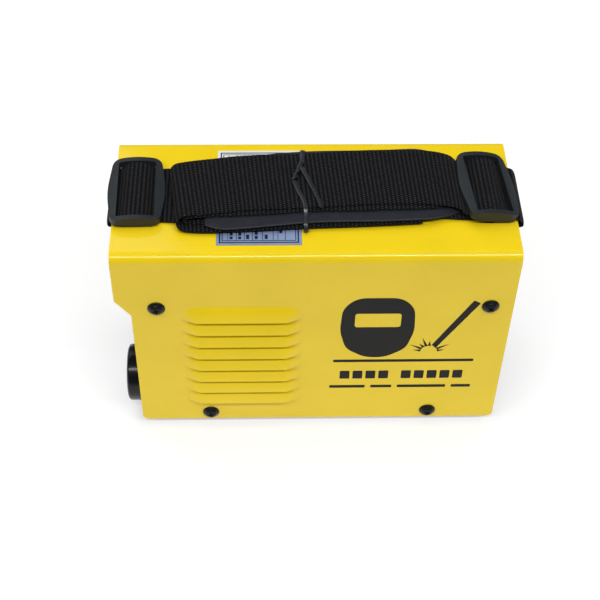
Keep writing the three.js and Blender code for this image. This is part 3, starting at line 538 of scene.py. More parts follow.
def front_edge(z):
    """The cover's front edge at a height."""
    lower = FRONT + HOOD_DEPTH
    hood, foot = ROOF - HOOD_HEIGHT, ROOF - HOOD_HEIGHT - HOOD_SLOPE
    if z >= hood:
        return FRONT
    if z >= foot:
        return lower - HOOD_DEPTH * (z - foot) / HOOD_SLOPE
    return lower + corner(z)


def corner(z, radius=4.0):
    """How far the outline is drawn in by the round lower corner."""
    up = z - BASE
    return 0.0 if up >= radius else radius - math.sqrt(max(0.0, radius ** 2 - (radius - up) ** 2))


def side_rows():
    """[(height, louvre lip or None)] from the cover's lower edge up to its bend."""
    rows = [(BASE + 4 * (1 - math.cos(math.radians(a))), None) for a in range(0, 91, 15)]
    rows += [(BASE + 12, None)]
    steps = (0.0, 0.06, 0.14, 0.26, 0.38, 0.5, 0.62, 0.74, 0.84, 0.9, 0.95, 0.98, 1.0)
    for i in reversed(range(LOUVRES)):
        lip = TOP_LIP - i * LOUVRE_PITCH
        rows.append((lip, None))
        rows += [(lip + s * LOUVRE_HEIGHT, lip) for s in steps]
    hood = ROOF - HOOD_HEIGHT
    rows += [(hood - HOOD_SLOPE, TOP_LIP), (hood, None)]
    rows.sort(key=lambda row: (row[0], row[1] is not None))
    return rows + [(ROOF - 22, None), (ROOF - 12, None), (ROOF - BEND, None)]


def cover_stations():
    """The rows of the cover's grid: (y, z, side or 0, lip or None), round the section from side to side."""
    side = side_rows()
    turn = HALF - BEND
    arc = [math.radians(9 * k) for k in range(1, 10)]
    rows = [(-HALF, z, -1, lip) for z, lip in side]
    rows += [(-turn - BEND * math.cos(a), ROOF - BEND + BEND * math.sin(a), 0, None) for a in arc]
    rows += [(-turn, ROOF, 0, None)]
    flat = (-33, SLOT_LOW, SLOT_LOW + 1, -12, 0, 12, SLOT_HIGH - 1, SLOT_HIGH, 33)
    rows += [(y, ROOF, 0, None) for y in flat]
    rows += [(turn, ROOF, 0, None)]
    rows += [(turn + BEND * math.sin(a), ROOF - BEND + BEND * math.cos(a), 0, None) for a in arc]
    return rows + [(HALF, z, 1, lip) for z, lip in reversed(side)]


def make_cover():
    xs = cover_columns()
    slots = [FRONT, *[x for pair in SLOTS[:1] for x in pair], FRONT + 27]
    tail = [REAR - 27, *SLOTS[1], REAR]
    points, rows = [], []
    for y, z, side, lip in cover_stations():
        start, end = front_edge(z), REAR - corner(z)
        front = [start + (x - FRONT) * (FRONT + 27 - start) / 27 for x in slots]
        rear = [end - (REAR - x) * (end - REAR + 27) / 27 for x in tail]
        row = []
        for x in [*front, *xs, *rear]:
            out = louvre_rise(x, z, lip) if lip is not None else 0.0
            row.append(len(points))
            points.append((x, y + side * out, z))
        rows.append(row)
    faces = []
    for a, b in zip(rows, rows[1:]):
        for i in range(len(a) - 1):
            corners = [points[k] for k in (a[i], a[i + 1], b[i + 1], b[i])]
            x = sum(c[0] for c in corners) / 4
            y = sum(c[1] for c in corners) / 4
            z = sum(c[2] for c in corners) / 4
            in_slot = any(s0 < x < s1 for s0, s1 in SLOTS) and SLOT_LOW < y < SLOT_HIGH and z > ROOF - 0.01
            flat = max(c[2] for c in corners) - min(c[2] for c in corners) < 1e-6 and z < ROOF - BEND
            if not in_slot and not flat:
                faces.append((a[i], a[i + 1], b[i + 1], b[i]))
    mesh = mesh_of("cover", points, faces)
    edit(mesh, lambda bm: bmesh.ops.dissolve_degenerate(bm, dist=0.0005 * MM, edges=bm.edges))
    piece = from_mesh("fine_cover", mesh, "case_yellow", ["cover"])
    thick = piece.modifiers.new("sheet", "SOLIDIFY")
    thick.thickness = SHEET * MM
    thick.offset = -1
    thick.use_even_offset = False
    bevel(piece, 0.22, 2, 50)
    return settle(piece, 38)


make_cover()

# ---------------------------------------------------------------- screws


def screw_mesh(radius, height):
    """A screw head with a flange and a cross recess, seated on z = 0."""
    profile = [(0, -0.25), (radius, -0.25), (radius, 0.14 * radius), (0.80 * radius, 0.26 * radius),
               (0.62 * radius, height * 0.86), (0.3 * radius, height), (0, height)]
    piece = bare("screw", lathe(profile, "z", (0, 0, 0), 40, 0.18 * radius))
    arm, half, floor = 0.4 * radius, 0.095 * radius, height - 0.36 * radius
    tools = []
    for turn in (0, 1):
        low, high = (-arm, arm), (-half, half)
        (u0, u1), (v0, v1) = (low, high) if turn == 0 else (high, low)
        put = lambda u, v, w: (u, v, w)  # noqa: E731
        tools.append(prism(rectangle(u0, u1, v0, v1), floor, height + 1, put))
    cut(piece, tools)
    mesh = piece.data
    bpy.data.objects.remove(piece)
    return mesh


def place_screws(mesh, nodes, normal):
    """One screw on each node's place, its head along normal."""
    for k, node in enumerate(nodes):
        low, high = box_mm(node)
        centre = [(a + b) / 2 for a, b in zip(low, high)]
        axis = max(range(3), key=lambda i: abs(normal[i]))
        seat = {0: REAR_PANEL_X, 1: math.copysign(HALF, normal[1])}[axis]
        centre[axis] = seat
        turn = Vector((0, 0, 1)).rotation_difference(Vector(normal)).to_matrix().to_4x4()
        spin = Matrix.Rotation(math.radians(17 + 41 * k), 4, "Z")
        own = mesh.copy()
        own.transform(Matrix.Translation(Vector(centre) * MM) @ turn @ spin)
        piece = from_mesh("fine_" + node, own, "screw_black", [node])
        settle(bevel(piece, 0.12, 2, 40), 40)


COVER_SCREWS = {side: [n for n in sorted(frame["nodes"]) if n.startswith(f"cover_screw_{side}")]
                for side in ("right", "left")}
HEAD = screw_mesh(5.1, 2.9)
place_screws(HEAD, COVER_SCREWS["right"], (0, -1, 0))
place_screws(HEAD, COVER_SCREWS["left"], (0, 1, 0))
FAN_SCREWS = [n for n in sorted(frame["nodes"]) if n.startswith("fan_screw")]
place_screws(screw_mesh(3.8, 2.3), FAN_SCREWS, (1, 0, 0))

# ---------------------------------------------------------------- sockets, knob and gland


def middle(node):
    low, high = box_mm(node)
    return [(a + b) / 2 for a, b in zip(low, high)]


def make_socket(pole):
    node = f"socket_{pole}"
    (x0, _, _), (x1, _, _) = box_mm(node)
    _, y, z = middle(node)
    seat = PANEL_X - 0.3
    profile = [(6.8, x0, 0.5), (15.7, x0, 0.8), (17.5, x0 + 0.9, 1.0), (17.8, x0 + 2.4, 0.8), (17.8, seat, 0.2),
               (11.8, seat, 0.2), (11.8, x1, 0.4), (9.3, x1, 0.3), (9.3, x0 + 2.7, 0.1), (6.8, x0 + 2.7, 0.3)]
    piece = from_mesh("fine_" + node, lathe(profile, "x", (0, y, z), 96), "socket_plastic", [node])
    put = lambda u, v, w: (w, y + u, z + v)  # noqa: E731
    cut(piece, [prism(rectangle(-2, 2, 0, 9.6, 0.6), x0 - 1, x0 + 4, put)])
    settle(piece, 40)
    contact = f"socket_{pole}_contact"
    (c0, _, _), (c1, _, _) = box_mm(contact)
    neck = x1 + 0.3
    profile = [(6.6, c0, 0.5), (9, c0, 0.3), (9, neck, 0.1), (10.8, neck, 0.3), (10.8, neck + 2.2, 0.3),
               (5, neck + 2.2, 0.1), (5, c1, 0.8), (0, c1), (0, neck - 1.3), (6.6, neck - 1.3, 0.6)]
    settle(from_mesh("fine_" + contact, lathe(profile, "x", (0, y, z), 64), "brass_contact", [contact]), 40)


for pole in ("negative", "positive"):
    make_socket(pole)


def make_knob():
    (x0, _, _), (x1, _, _) = box_mm("current_knob")
    _, y, z = middle("current_knob")
    flutes, around = 18, 18 * 12
    heights = [(x0, 0.0, 0), (x0, 8.6, 0), (x0 + 0.25, 9.5, 0.15), (x0 + 0.9, 10.3, 0.6), (x0 + 1.6, 10.6, 1),
               (x1 - 3.4, 10.9, 1), (x1 - 2.9, 11.0, 0.6), (x1 - 2.6, 11.3, 0), (x1 - 1.4, 12.8, 0),
               (x1 - 1.0, 13.0, 0), (x1 - 0.1, 13.0, 0), (x1, 12.9, 0), (x1, 3.3, 0), (x1 - 8.0, 3.3, 0),
               (x1 - 8.0, 0.0, 0)]
    points, faces = [], []
    for k in range(around):
        angle = 2 * math.pi * k / around
        dip = -0.75 * (0.5 - 0.5 * math.cos(flutes * angle)) ** 2
        for x, r, share in heights:
            reach = r + dip * share
            points.append((x, y + reach * math.sin(angle), z + reach * math.cos(angle)))
    n = len(heights)
    for k in range(around):
        a, b = k * n, (k + 1) % around * n
        faces += [(a + i, a + i + 1, b + i + 1, b + i) for i in range(n - 1)]
    mesh = mesh_of("knob", points, faces)
    edit(mesh, lambda bm: bmesh.ops.dissolve_degenerate(bm, dist=0.0005 * MM, edges=bm.edges))
    knob = from_mesh("fine_current_knob", outward(mesh), "black_plastic", ["current_knob"], "knob")
    settle(knob, 45)
    put = lambda u, v, w: (w, y + u, z + v)  # noqa: E731
    line = prism(rectangle(-0.65, 0.65, 2.2, 9.0, 0.5), x0 - 0.08, x0 + 0.2, put)
    settle(from_mesh("knob_pointer_line", line, "label_film", (), "knob", PALE_INK))


make_knob()


def make_gland():
    (x0, _, _), (x1, _, _) = box_mm("cable_gland")
    _, y, z = middle("cable_gland")
    seat = REAR_PANEL_X + 0.3
    profile = [(4.6, x0, 0.3), (7.6, x0, 0.5), (7.6, seat, 0.1), (7.6, seat + 2), (6.4, seat + 3.9, 0.1),
               (6.4, x1, 0.4), (4.6, x1, 0.3)]
    body = lathe(profile, "x", (0, y, z), 64)
    hexagon = [(11.5 * math.cos(k * math.pi / 3), 11.5 * math.sin(k * math.pi / 3)) for k in range(6)]
    put = lambda u, v, w: (w, y + u, z + v)  # noqa: E731
    piece = from_mesh("fine_cable_gland", prism(fillet(hexagon, 0.8, True, 3), seat, seat + 4, put),
                      "black_plastic", ["cable_gland"])
    bore = lathe([(0, x0 - 1), (4.6, x0 - 1), (4.6, x1 + 1), (0, x1 + 1)], "x", (0, y, z), 64, 0)
    cut(piece, [body], "UNION")
    cut(piece, [bore])
    settle(bevel(piece, 0.3), 40)
    (x0, _, _), (x1, _, _) = box_mm("cable_gland_cap")
    ribs, around, n = 12, 12 * 10, 0
    line = fillet([(6.8, x0, 0.2), (9.1, x0, 0.4), (9.1, x0 + 5.6, 1.2), (7.6, x1 - 0.4, 1.2), (6.6, x1, 0.4),
                   (4.6, x1, 0.4), (4.6, x0 + 5.8, 0.3), (6.8, x0 + 5.2, 0.2)], 0.3, True, 4)
    points, faces = [], []
    for k in range(around):
        angle = 2 * math.pi * k / around
        swell = 0.35 * max(0.0, math.cos(ribs * angle)) ** 2
        for r, x in line:
            out = swell if r > 8.4 else 0.0
            points.append((x, y + (r + out - 0.2) * math.sin(angle), z + (r + out - 0.2) * math.cos(angle)))
    n = len(line)
    for k in range(around):
        a, b = k * n, (k + 1) % around * n
        faces += [(a + i, a + (i + 1) % n, b + (i + 1) % n, b + i) for i in range(n)]
    cap = from_mesh("fine_cable_gland_cap", outward(mesh_of("cap", points, faces)), "black_plastic",
                    ["cable_gland_cap"])
    settle(cap, 45)


make_gland()

# ---------------------------------------------------------------- soft strap


def spline(points, step):
    """Catmull-Rom through vectors, with a point about every step millimetres."""
    out = []
    for i in range(len(points) - 1):
        p0, p1 = points[max(0, i - 1)], points[i]
        p2, p3 = points[i + 1], points[min(len(points) - 1, i + 2)]
        count = max(2, round((p2 - p1).length / step))
        t0 = (p2 - p0) * (0.5 if i else 1.0)
        t1 = (p3 - p1) * (0.5 if i < len(points) - 2 else 1.0)
        if (p2 - p0).length > 0:
            t0 = t0.normalized() * min(t0.length, (p2 - p1).length)
        if (p3 - p1).length > 0:
            t1 = t1.normalized() * min(t1.length, (p2 - p1).length)
        for k in range(count):
            t = k / count
            h = (2 * t ** 3 - 3 * t ** 2 + 1, t ** 3 - 2 * t ** 2 + t, 3 * t ** 2 - 2 * t ** 3, t ** 3 - t ** 2)
            out.append(h[0] * p1 + h[1] * t0 + h[2] * p2 + h[3] * t1)
    out.append(points[-1])
    return out


RIB_PITCH, YARN_PITCH = 2.4, 1.45
WEB, WEB_THICK = 44.0, 1.2


def ribbon(name, route, width, thickness, edge_wave=0.0):
    """
    Webbing along route, a list of (x, y, z, yaw, lean). Its width runs along Y, turned by yaw degrees about
    the vertical, and lean is how much its far edge rises for each millimetre across.
    """
    line = spline([Vector(p) for p in route], 0.9)
    across = [-1, -0.985, -0.94, -0.8, -0.6, -0.4, -0.2, 0, 0.2, 0.4, 0.6, 0.8, 0.94, 0.985, 1]
    run = 0.0
    points, uvs, rows = [], [], []
    for i, p in enumerate(line):
        ahead = (line[min(i + 1, len(line) - 1)] - line[max(i - 1, 0)]).to_3d().normalized()
        if i:
            run += (p - line[i - 1]).to_3d().length
        yaw = math.radians(p[3])
        side = Vector((-math.sin(yaw), math.cos(yaw), p[4])).normalized()
        up = ahead.cross(side).normalized()
        wave = edge_wave * abs(math.sin(math.pi * run / RIB_PITCH))
        row = []
        for top in (1, -1):
            for a in (across if top == 1 else reversed(across)):
                half = width / 2 - edge_wave + wave
                thin = thickness / 2 * (1 if abs(a) < 0.93 else 0.72 if abs(a) < 0.98 else 0.3)
                row.append(len(points))
                points.append(p.to_3d() + side * a * half + up * top * thin)
                uvs.append((a * width / 2 / YARN_PITCH, run / RIB_PITCH))
        rows.append(row)
    faces = []
    n = len(rows[0])
    for a, b in zip(rows, rows[1:]):
        faces += [(a[i], a[(i + 1) % n], b[(i + 1) % n], b[i]) for i in range(n)]
    faces += [tuple(rows[0]), tuple(reversed(rows[-1]))]
    mesh = bpy.data.meshes.new(name)
    mesh.from_pydata([p * MM for p in points], [], faces)
    layer = mesh.uv_layers.new(name="weave")
    for loop in mesh.loops:
        layer.data[loop.index].uv = uvs[loop.vertex_index]
    return outward(mesh), run


def X(x):
    """An x measured from the cover's front edge."""
    return FRONT + x


def R(z):
    """A height measured from the roof."""
    return ROOF + z


# Each buckle's middle, its lean down to the rear, its turn about the vertical, how much thicker it is in
# the middle than at its ends, and how far its side rails reach down
BUCKLES = {
    "buckle_front": ((X(13.1), 0.5, R(2.2)), 0.0, 1.0, 3.1, 0.9),
    "buckle_rear": ((X(213.9), 1.4, R(3.9)), 8.5, 5.0, 3.7, 1.1),
}
END_THICK = 2.3


def threaded(name, yaw=0.0):
    """The webbing's way through a buckle: under its front bar, over its middle bar, under its rear bar."""
    (x, y, z), tilt, _, arch, _ = BUCKLES[name]
    c, s = math.cos(math.radians(tilt)), math.sin(math.radians(tilt))
    peak = 0.6 * (arch + END_THICK) + 1.05
    way = [(-14.2, -0.95), (-10.9, -0.85), (-8.3, 0.5), (-5.4, peak - 1.2), (-2.6, peak - 0.1), (0, peak)]
    way += [(-u, w) for u, w in reversed(way[:-1])]
    return [(x + u * c + w * s, y, z - u * s + w * c, yaw, 0.0) for u, w in way]


def strap_route():
    """
    The webbing's centre line as (x, y, z, yaw, lean). It runs from the front slot to the rear slot, and its
    tail comes back up through the rear slot and lies folded round the shoulder pad.
    """
    y = STRAP_Y
    front = [
        (X(14.9), y, R(1.1), 0, 0), (X(15.9), y, R(0.4), 0, 0), (X(15.7), y, R(-1.3), 0, 0),
        (X(13.2), y, R(-2.4), 0, 0), (X(6), y, R(-2.6), 0, 0), (X(0.4), y, R(-2.7), 0, 0),
        (X(-1.9), y, R(-1.7), 0, 0), (X(-2.2), y, R(-0.2), 0, 0), (X(-1.3), y, R(1.1), 0, 0),
    ]
    lower = [
        (X(31), 0.2, R(1.5), 0, 0.01), (X(36), -0.3, R(1.75), 0, 0.01), (X(60), -1.2, R(1.75), 0, 0.012),
        (X(110), -2.2, R(1.75), 1, 0.012), (X(155), -2.4, R(1.75), 2, 0.012), (X(172.9), -2.3, R(1.75), 2, 0.015),
        (X(174.3), -2.6, R(2.5), 2, 0.02), (X(172.9), -3.0, R(3.2), 2.5, 0.03),
    ]
    middle_run = [
        (X(155), -4.2, R(3.2), 3, 0.03), (X(135), -5.2, R(3.2), 3, 0.03), (X(112), -6.1, R(3.2), 3, 0.03),
        (X(100), -6.9, R(3.2), 3, 0.03), (X(77), -8.5, R(3.2), 3, 0.03), (X(56), -9.4, R(3.2), 3, 0.03),
        (X(44), -9.0, R(3.2), 4, 0.04), (X(37.8), -8.0, R(3.5), 5, 0.05), (X(34.9), -6.6, R(5.3), 6, 0.03),
        (X(35.3), -5.0, R(7.7), 7, 0.0), (X(38.2), -3.9, R(9.4), 7.5, 0.0),
    ]
    top = [
        (X(44), -2.9, R(9.75), 8, 0.01), (X(52), -1.8, R(9.75), 7, 0.025), (X(61), -0.6, R(9.75), 6, 0.03),
        (X(72), 1.2, R(9.75), 5.5, 0.03), (X(89), 2.3, R(9.75), 4.5, 0.03), (X(106), 3.0, R(9.75), 4, 0.03),
        (X(124), 4.3, R(9.75), 4, 0.03), (X(148), 6.0, R(9.75), 3, 0.03), (X(176), 6.0, R(9.7), 2.5, 0.03),
        (X(188), 4.9, R(9.1), 2, 0.03), (X(195.5), 3.8, R(7.6), 1.5, 0.01),
    ]
    rear = [
        (X(231.4), -0.4, R(1.0), 0, 0), (X(233.1), -0.7, R(-0.9), 0, 0), (X(232.8), -0.4, R(-3.0), 0, 0),
        (X(230.2), 0.1, R(-4.1), 0, 0), (X(224), 0.4, R(-3.9), 0, 0), (X(217.4), y, R(-3.0), 0, 0),
        (X(214.8), y, R(-1.5), 0, 0), (X(213.6), y, R(0.1), 0, 0), (X(211.2), y, R(1.2), 0, 0),
    ]
    tail_under = [
        (X(205), 0.6, R(1.5), 0.5, 0), (X(198), 0.8, R(2.0), 1, 0.01), (X(188), 0.9, R(3.4), 1.5, 0.02),
        (X(176), 0.6, R(4.35), 2, 0.03), (X(150), -0.2, R(4.4), 2.5, 0.03), (X(110), -1.6, R(4.4), 3, 0.03),
        (X(70), -3.4, R(4.4), 3, 0.03), (X(47), -4.2, R(4.4), 4, 0.03), (X(42), -4.3, R(4.6), 4, 0.03),
        (X(39.8), -4.2, R(5.6), 4, 0.03), (X(39.8), -4.0, R(7.3), 4, 0.03), (X(42), -3.6, R(8.25), 4, 0.03),
    ]
    tail_over = [
        (X(47), -3.0, R(8.45), 4, 0.03), (X(58), -2.0, R(8.45), 4, 0.03), (X(70), -1.5, R(8.45), 4, 0.03),
        (X(86), -0.5, R(8.45), 3.5, 0.03), (X(103), 1.1, R(8.45), 3, 0.03), (X(120), 2.0, R(8.45), 2.5, 0.03),
        (X(138), 2.1, R(8.45), 2, 0.03), (X(154), 2.9, R(8.45), 2, 0.03), (X(174), 3.4, R(8.4), 2, 0.03),
        (X(183.5), 4.4, R(8.0), 2, 0.03),
    ]
    runs = (front, threaded("buckle_front"), lower, middle_run, top, threaded("buckle_rear", 1.0), rear,
            tail_under, tail_over)
    return [spot for run in runs for spot in run]


def make_strap():
    mesh, run = ribbon("strap", strap_route(), WEB, WEB_THICK, 0.3)
    piece = from_mesh("webbing_strap", mesh, "webbing",
                      ["strap_front_loop", "strap_rear_loop", "strap_folds", "strap_top_run"])
    settle(piece, 60)
    return run


strap_length = make_strap()


def make_buckle(node):
    """A three-bar slide buckle: an arched frame with bulged end bars and a lower middle bar."""
    centre, tilt, yaw, arch, skirt = BUCKLES[node]
    half, end, bulge, window = 25.5, 14.0, 2.9, 22.3
    outer = [(-end, -half, 5.5), (end, -half, 5.5), (end + bulge, 0, 9), (end, half, 5.5), (-end, half, 5.5),
             (-end - bulge, 0, 9)]
    put = lambda u, v, w: (u, v, w)  # noqa: E731
    piece = bare("buckle", prism(fillet(outer, 6, True, 7), 0, 1, put))
    tools = [prism(rectangle(s * 6.6 - 4.1, s * 6.6 + 4.1, -window, window, 1.4), -1, 2, put) for s in (-1, 1)]
    tools.append(prism(rectangle(-3.2, 3.2, -window, window), 0.6, 2, put))
    cut(piece, tools)

    def shaped(bm):
        bmesh.ops.dissolve_limit(bm, angle_limit=0.01, verts=bm.verts, edges=bm.edges)
        for k in range(-15, 16):
            plane = Vector((k * 1.05 * MM, 0, 0))
            bmesh.ops.bisect_plane(bm, geom=[*bm.verts, *bm.edges, *bm.faces], plane_co=plane, plane_no=(1, 0, 0))
        for v in bm.verts:
            rise = max(0.0, 1 - (v.co.x / MM / (end + bulge)) ** 2)
            low = -skirt * math.sqrt(rise) if abs(v.co.y) > (window - 0.01) * MM else 0.25 * rise
            high = END_THICK + arch * rise
            v.co.z = (low + v.co.z / MM * (high - low)) * MM

    edit(piece.data, shaped)
    settle(bevel(piece, 0.75, 3, 50))
    mesh = piece.data
    bpy.data.objects.remove(piece)
    turn = Matrix.Rotation(math.radians(tilt), 4, "Y") @ Matrix.Rotation(math.radians(yaw), 4, "Z")
    mesh.transform(Matrix.Translation(Vector(centre) * MM) @ turn)
    settle(from_mesh("fine_" + node, mesh, "buckle_plastic", [node]), 42)


make_buckle("buckle_front")
make_buckle("buckle_rear")


def make_pad():
    """The shoulder pad: a slab with tapered ends and a sloped edge, drawn in a little where it is tied."""
    reach, full, steps = 72.5, 28.7, 60
    near = [(-1.0, -0.75), (-1.0, -0.4), (-0.993, -0.22), (-0.975, -0.05), (-0.85, 0.8), (-0.835, 0.89),
            (-0.81, 0.96), (-0.77, 0.99), (-0.3, 1.0)]
    upper = near + [(-u, w) for u, w in reversed(near)]
    lower = [(0.98, -0.95), (0.9, -1.0), (0, -1.0), (-0.9, -1.0), (-0.98, -0.95)]
    points, faces, grid = [], [], []
    for i in range(steps + 1):
        x = reach * math.sin(math.pi / 2 * (-1 + 2 * i / steps))
        tip, length = (24.4, 12.4) if x < 0 else (22.5, 20.0)
        half = full - (full - tip) * max(0.0, 1 - (reach - abs(x)) / length) ** 1.6
        thick = 2.6 * min(1.0, 0.3 + 0.7 * math.sqrt(min(1.0, (reach - abs(x)) / 3)))
        droop = 2.2 * max(0.0, (x - 50) / 22) ** 1.5
        drawn = 2.2 * math.exp(-((x + 11.5) / 32) ** 2)
        ring = []
        for u, w in upper + lower:
            ring.append(len(points))
            points.append((x, u * half + drawn, thick / 2 * w + 0.03 * u * half - droop))
        grid.append(ring)
    n = len(grid[0])
    for a, b in zip(grid, grid[1:]):
        faces += [(a[i], a[(i + 1) % n], b[(i + 1) % n], b[i]) for i in range(n)]
    faces += [tuple(grid[0]), tuple(reversed(grid[-1]))]
    mesh = outward(mesh_of("pad", points, faces))
    turn = Matrix.Rotation(math.radians(3.9), 4, "Z")
    mesh.transform(Matrix.Translation(Vector((X(123.5), 1.0, R(6.4))) * MM) @ turn)
    piece = from_mesh("shoulder_pad_body", mesh, "shoulder_pad", ["shoulder_pad"])
    settle(piece, 50)


make_pad()


def tube(path, half_width, half_thick, twist=0.0, sides=10, start=0.0):
    """A flat wire tie along a path: its plastic ribbon, round two thin wires that are not drawn."""
    line = spline([Vector(p) for p in path], 0.5)
    points, faces, rings = [], [], []
    up = Vector((0, 0, 1))
    for i, p in enumerate(line):
        ahead = (line[min(i + 1, len(line) - 1)] - line[max(i - 1, 0)]).normalized()
        side = ahead.cross(up)
        if side.length < 1e-4:
            side = ahead.cross(Vector((1, 0, 0)))
        side.normalize()
        up = side.cross(ahead).normalized()
        angle = start + twist * i / max(1, len(line) - 1)
        ring = []
        for k in range(sides):
            a = 2 * math.pi * k / sides
            u, v = half_width * math.cos(a), half_thick * math.sin(a) * (1.0 if abs(math.cos(a)) < 0.6 else 1.15)
            c, s = math.cos(angle), math.sin(angle)
            ring.append(len(points))
            points.append(p + side * (u * c - v * s) + up * (u * s + v * c))
        rings.append(ring)
    for a, b in zip(rings, rings[1:]):
        faces += [(a[i], a[(i + 1) % sides], b[(i + 1) % sides], b[i]) for i in range(sides)]
    faces += [tuple(rings[0]), tuple(reversed(rings[-1]))]
    return outward(mesh_of("tube", points, faces))


def make_tie():
    """A twist tie: a loop round the bundle, a twisted knot on top and a long tail."""
    top, low = R(10.7), R(0.6)
    loop = [
        (X(107.9), 15.2, top + 0.6), (X(108.2), 20, top + 0.3), (X(108.6), 26.2, top + 0.2),
        (X(109), 29.6, R(8.8)), (X(109.4), 31, R(5.5)), (X(109.6), 29, R(1.6)), (X(109.7), 22, low),
        (X(109.7), 0, low), (X(109.6), -26, low), (X(109.5), -29.8, R(1.3)), (X(109.4), -30.2, R(3.0)),
        (X(109.3), -28.2, R(5.5)), (X(109.3), -24.4, R(7.2)), (X(109.4), -22.0, R(8.5)),
        (X(109.3), -19.4, top - 0.5), (X(108.6), -14.6, top - 0.2), (X(106.5), -9.0, top),
        (X(104.4), -3.0, top + 0.4), (X(103.2), 0.8, top + 0.9),
    ]
    tail = [(X(105.9), 12.2, top + 1.6), (X(108.1), 10.0, top + 1.8), (X(111.9), 0.4, top + 1.1),
            (X(115.6), -9.8, top + 0.3), (X(118.4), -20.0, top - 0.25)]
    wind, turns = [], 3.4
    for k in range(36):
        t = k / 35
        a = t * turns * 2 * math.pi
        centre = Vector((X(107.6 - 4.4 * t), 15.6 - 14.0 * t, top + 1.2))
        wind.append(centre + Vector((1.2 * math.cos(a), 0.9 * math.cos(a), 1.0 * math.sin(a))))
    core = [wind[0] * (1 - t) + wind[-1] * t for t in (0.0, 0.5, 1.0)]
    meshes = [tube(loop, 1.35, 0.42), tube(wind, 0.75, 0.5), tube(core, 0.8, 0.6), tube(tail, 1.45, 0.5, 0.5, start=0.1)]
    piece = from_mesh("twist_tie_ribbon", joined("tie", meshes), "tie_plastic", ["twist_tie"])
    settle(piece, 50)


make_tie()

# ---------------------------------------------------------------- prints


def flat_shapes(name, loops, put, look, slot, thickness=0.05, body=CASE):
    """Printed shapes: each loop a filled outline, slightly proud of its surface."""
    meshes = [prism(loop, 0, thickness, put) for loop in loops]
    return settle(from_mesh(name, joined(name, meshes), slot, (), body, look), 30)


def bar(u0, u1, v0, v1):
    return rectangle(u0, u1, v0, v1)


def side_print(name, side):
    """A generic welding mark: a mask, an electrode with its spark, a ground line, and plain bars."""
    put = lambda u, v, w: (X(u), side * (HALF + 0.01 + w), BASE + v)  # noqa: E731
    mask = fillet([(139, 113, 9), (131, 104, 6), (130, 84, 5), (134, 68, 5), (145, 60.5, 5), (152, 59.5, 3),
                   (159, 60.5, 5), (170, 68, 5), (174, 84, 5), (173, 104, 6), (165, 113, 9)], 5, True, 6)
    window = rectangle(138.5, 165.5, 87.5, 99.5, 2.0)
    body = bare("mask", prism(mask, 0, 0.05, put))
    cut(body, [prism(window, -1, 1, put)])
    mesh = body.data
    bpy.data.objects.remove(body)
    loops = []
    tip = (184, 66)
    rod = [(tip[0] + 1.2, tip[1] + 4.6), (tip[0] + 4.4, tip[1] + 3.0), (210.5, 108), (206.5, 110.5)]
    loops.append(fillet(rod, 0.8, True, 3))
    for k in range(9):
        a = math.radians(8 + 20.5 * k)
        r0, r1 = 5.0, (13.5 if k % 2 else 9.5)
        if 50 < math.degrees(a) < 90:
            continue
        c, s = math.cos(a), math.sin(a)
        loops.append([(tip[0] + r0 * c - 1.0 * s, tip[1] - 1 + r0 * s + 1.0 * c), (tip[0] + r1 * c, tip[1] - 1 + r1 * s),
                      (tip[0] + r0 * c + 1.0 * s, tip[1] - 1 + r0 * s - 1.0 * c)])
    loops.append(rectangle(127, 212, 55.2, 57.6, 1.0, 3))
    u = 131.5
    for width in (6, 6, 6, 6, -4, 6, 6, 6, 6, 6):
        if width > 0:
            loops.append(rectangle(u, u + width, 39.2, 46.8, 0.8, 3))
        u += abs(width) + 1.9
    u = 125.5
    for width in (22, 13, 30, 12):
        loops.append(rectangle(u, u + width, 30.2, 32.8, 0.8, 3))
        u += width + 3.4
    meshes = [mesh] + [prism(loop, 0, 0.05, put) for loop in loops]
    settle(from_mesh(name, joined(name, meshes), "screw_black", (), CASE, INK), 30)


side_print("side_print_right", -1)
side_print("side_print_left", 1)


def label_print():
    """The rating label's printed table: frames, columns and short bars in place of words."""
    (x0, y0, _), (x1, y1, z1) = box_mm("rating_label")
    put = lambda u, v, w: (x0 + u, y0 + v, z1 + 0.005 + w)  # noqa: E731
    length, width = x1 - x0, y1 - y0
    loops = []

    def frame_lines(inset, line):
        a, b, c, d = inset, length - inset, inset, width - inset
        loops.extend([bar(a, b, c, c + line), bar(a, b, d - line, d), bar(a, a + line, c, d), bar(b - line, b, c, d)])

    frame_lines(1.6, 0.8)
    frame_lines(3.2, 0.5)
    for u in (6.4, 11.2, 15.6, 20.2, 25.8, 31.8, 34.4, 38.6):
        loops.append(bar(u, u + 0.35, 3.2, width - 3.2))
    for v in (18, 34, 50, 62):
        loops.append(bar(3.2, length - 3.2, v, v + 0.35))
    rng = random.Random(7)
    for u in (7.6, 12.4, 16.8, 21.6, 27.2, 35.4, 40.0):
        for v0, v1 in ((4.6, 16.6), (19.6, 32.6), (35.6, 48.6), (51.6, 60.6), (63.6, width - 4.8)):
            v = v0
            while v < v1 - 1.5:
                step = rng.uniform(1.2, 4.0)
                if rng.random() < 0.62:
                    loops.append(bar(u, u + 1.7, v, min(v + step, v1)))
                v += step + 0.7
    flat_shapes("rating_label_print", loops, put, LABEL_INK, "label_film", 0.02)


label_print()

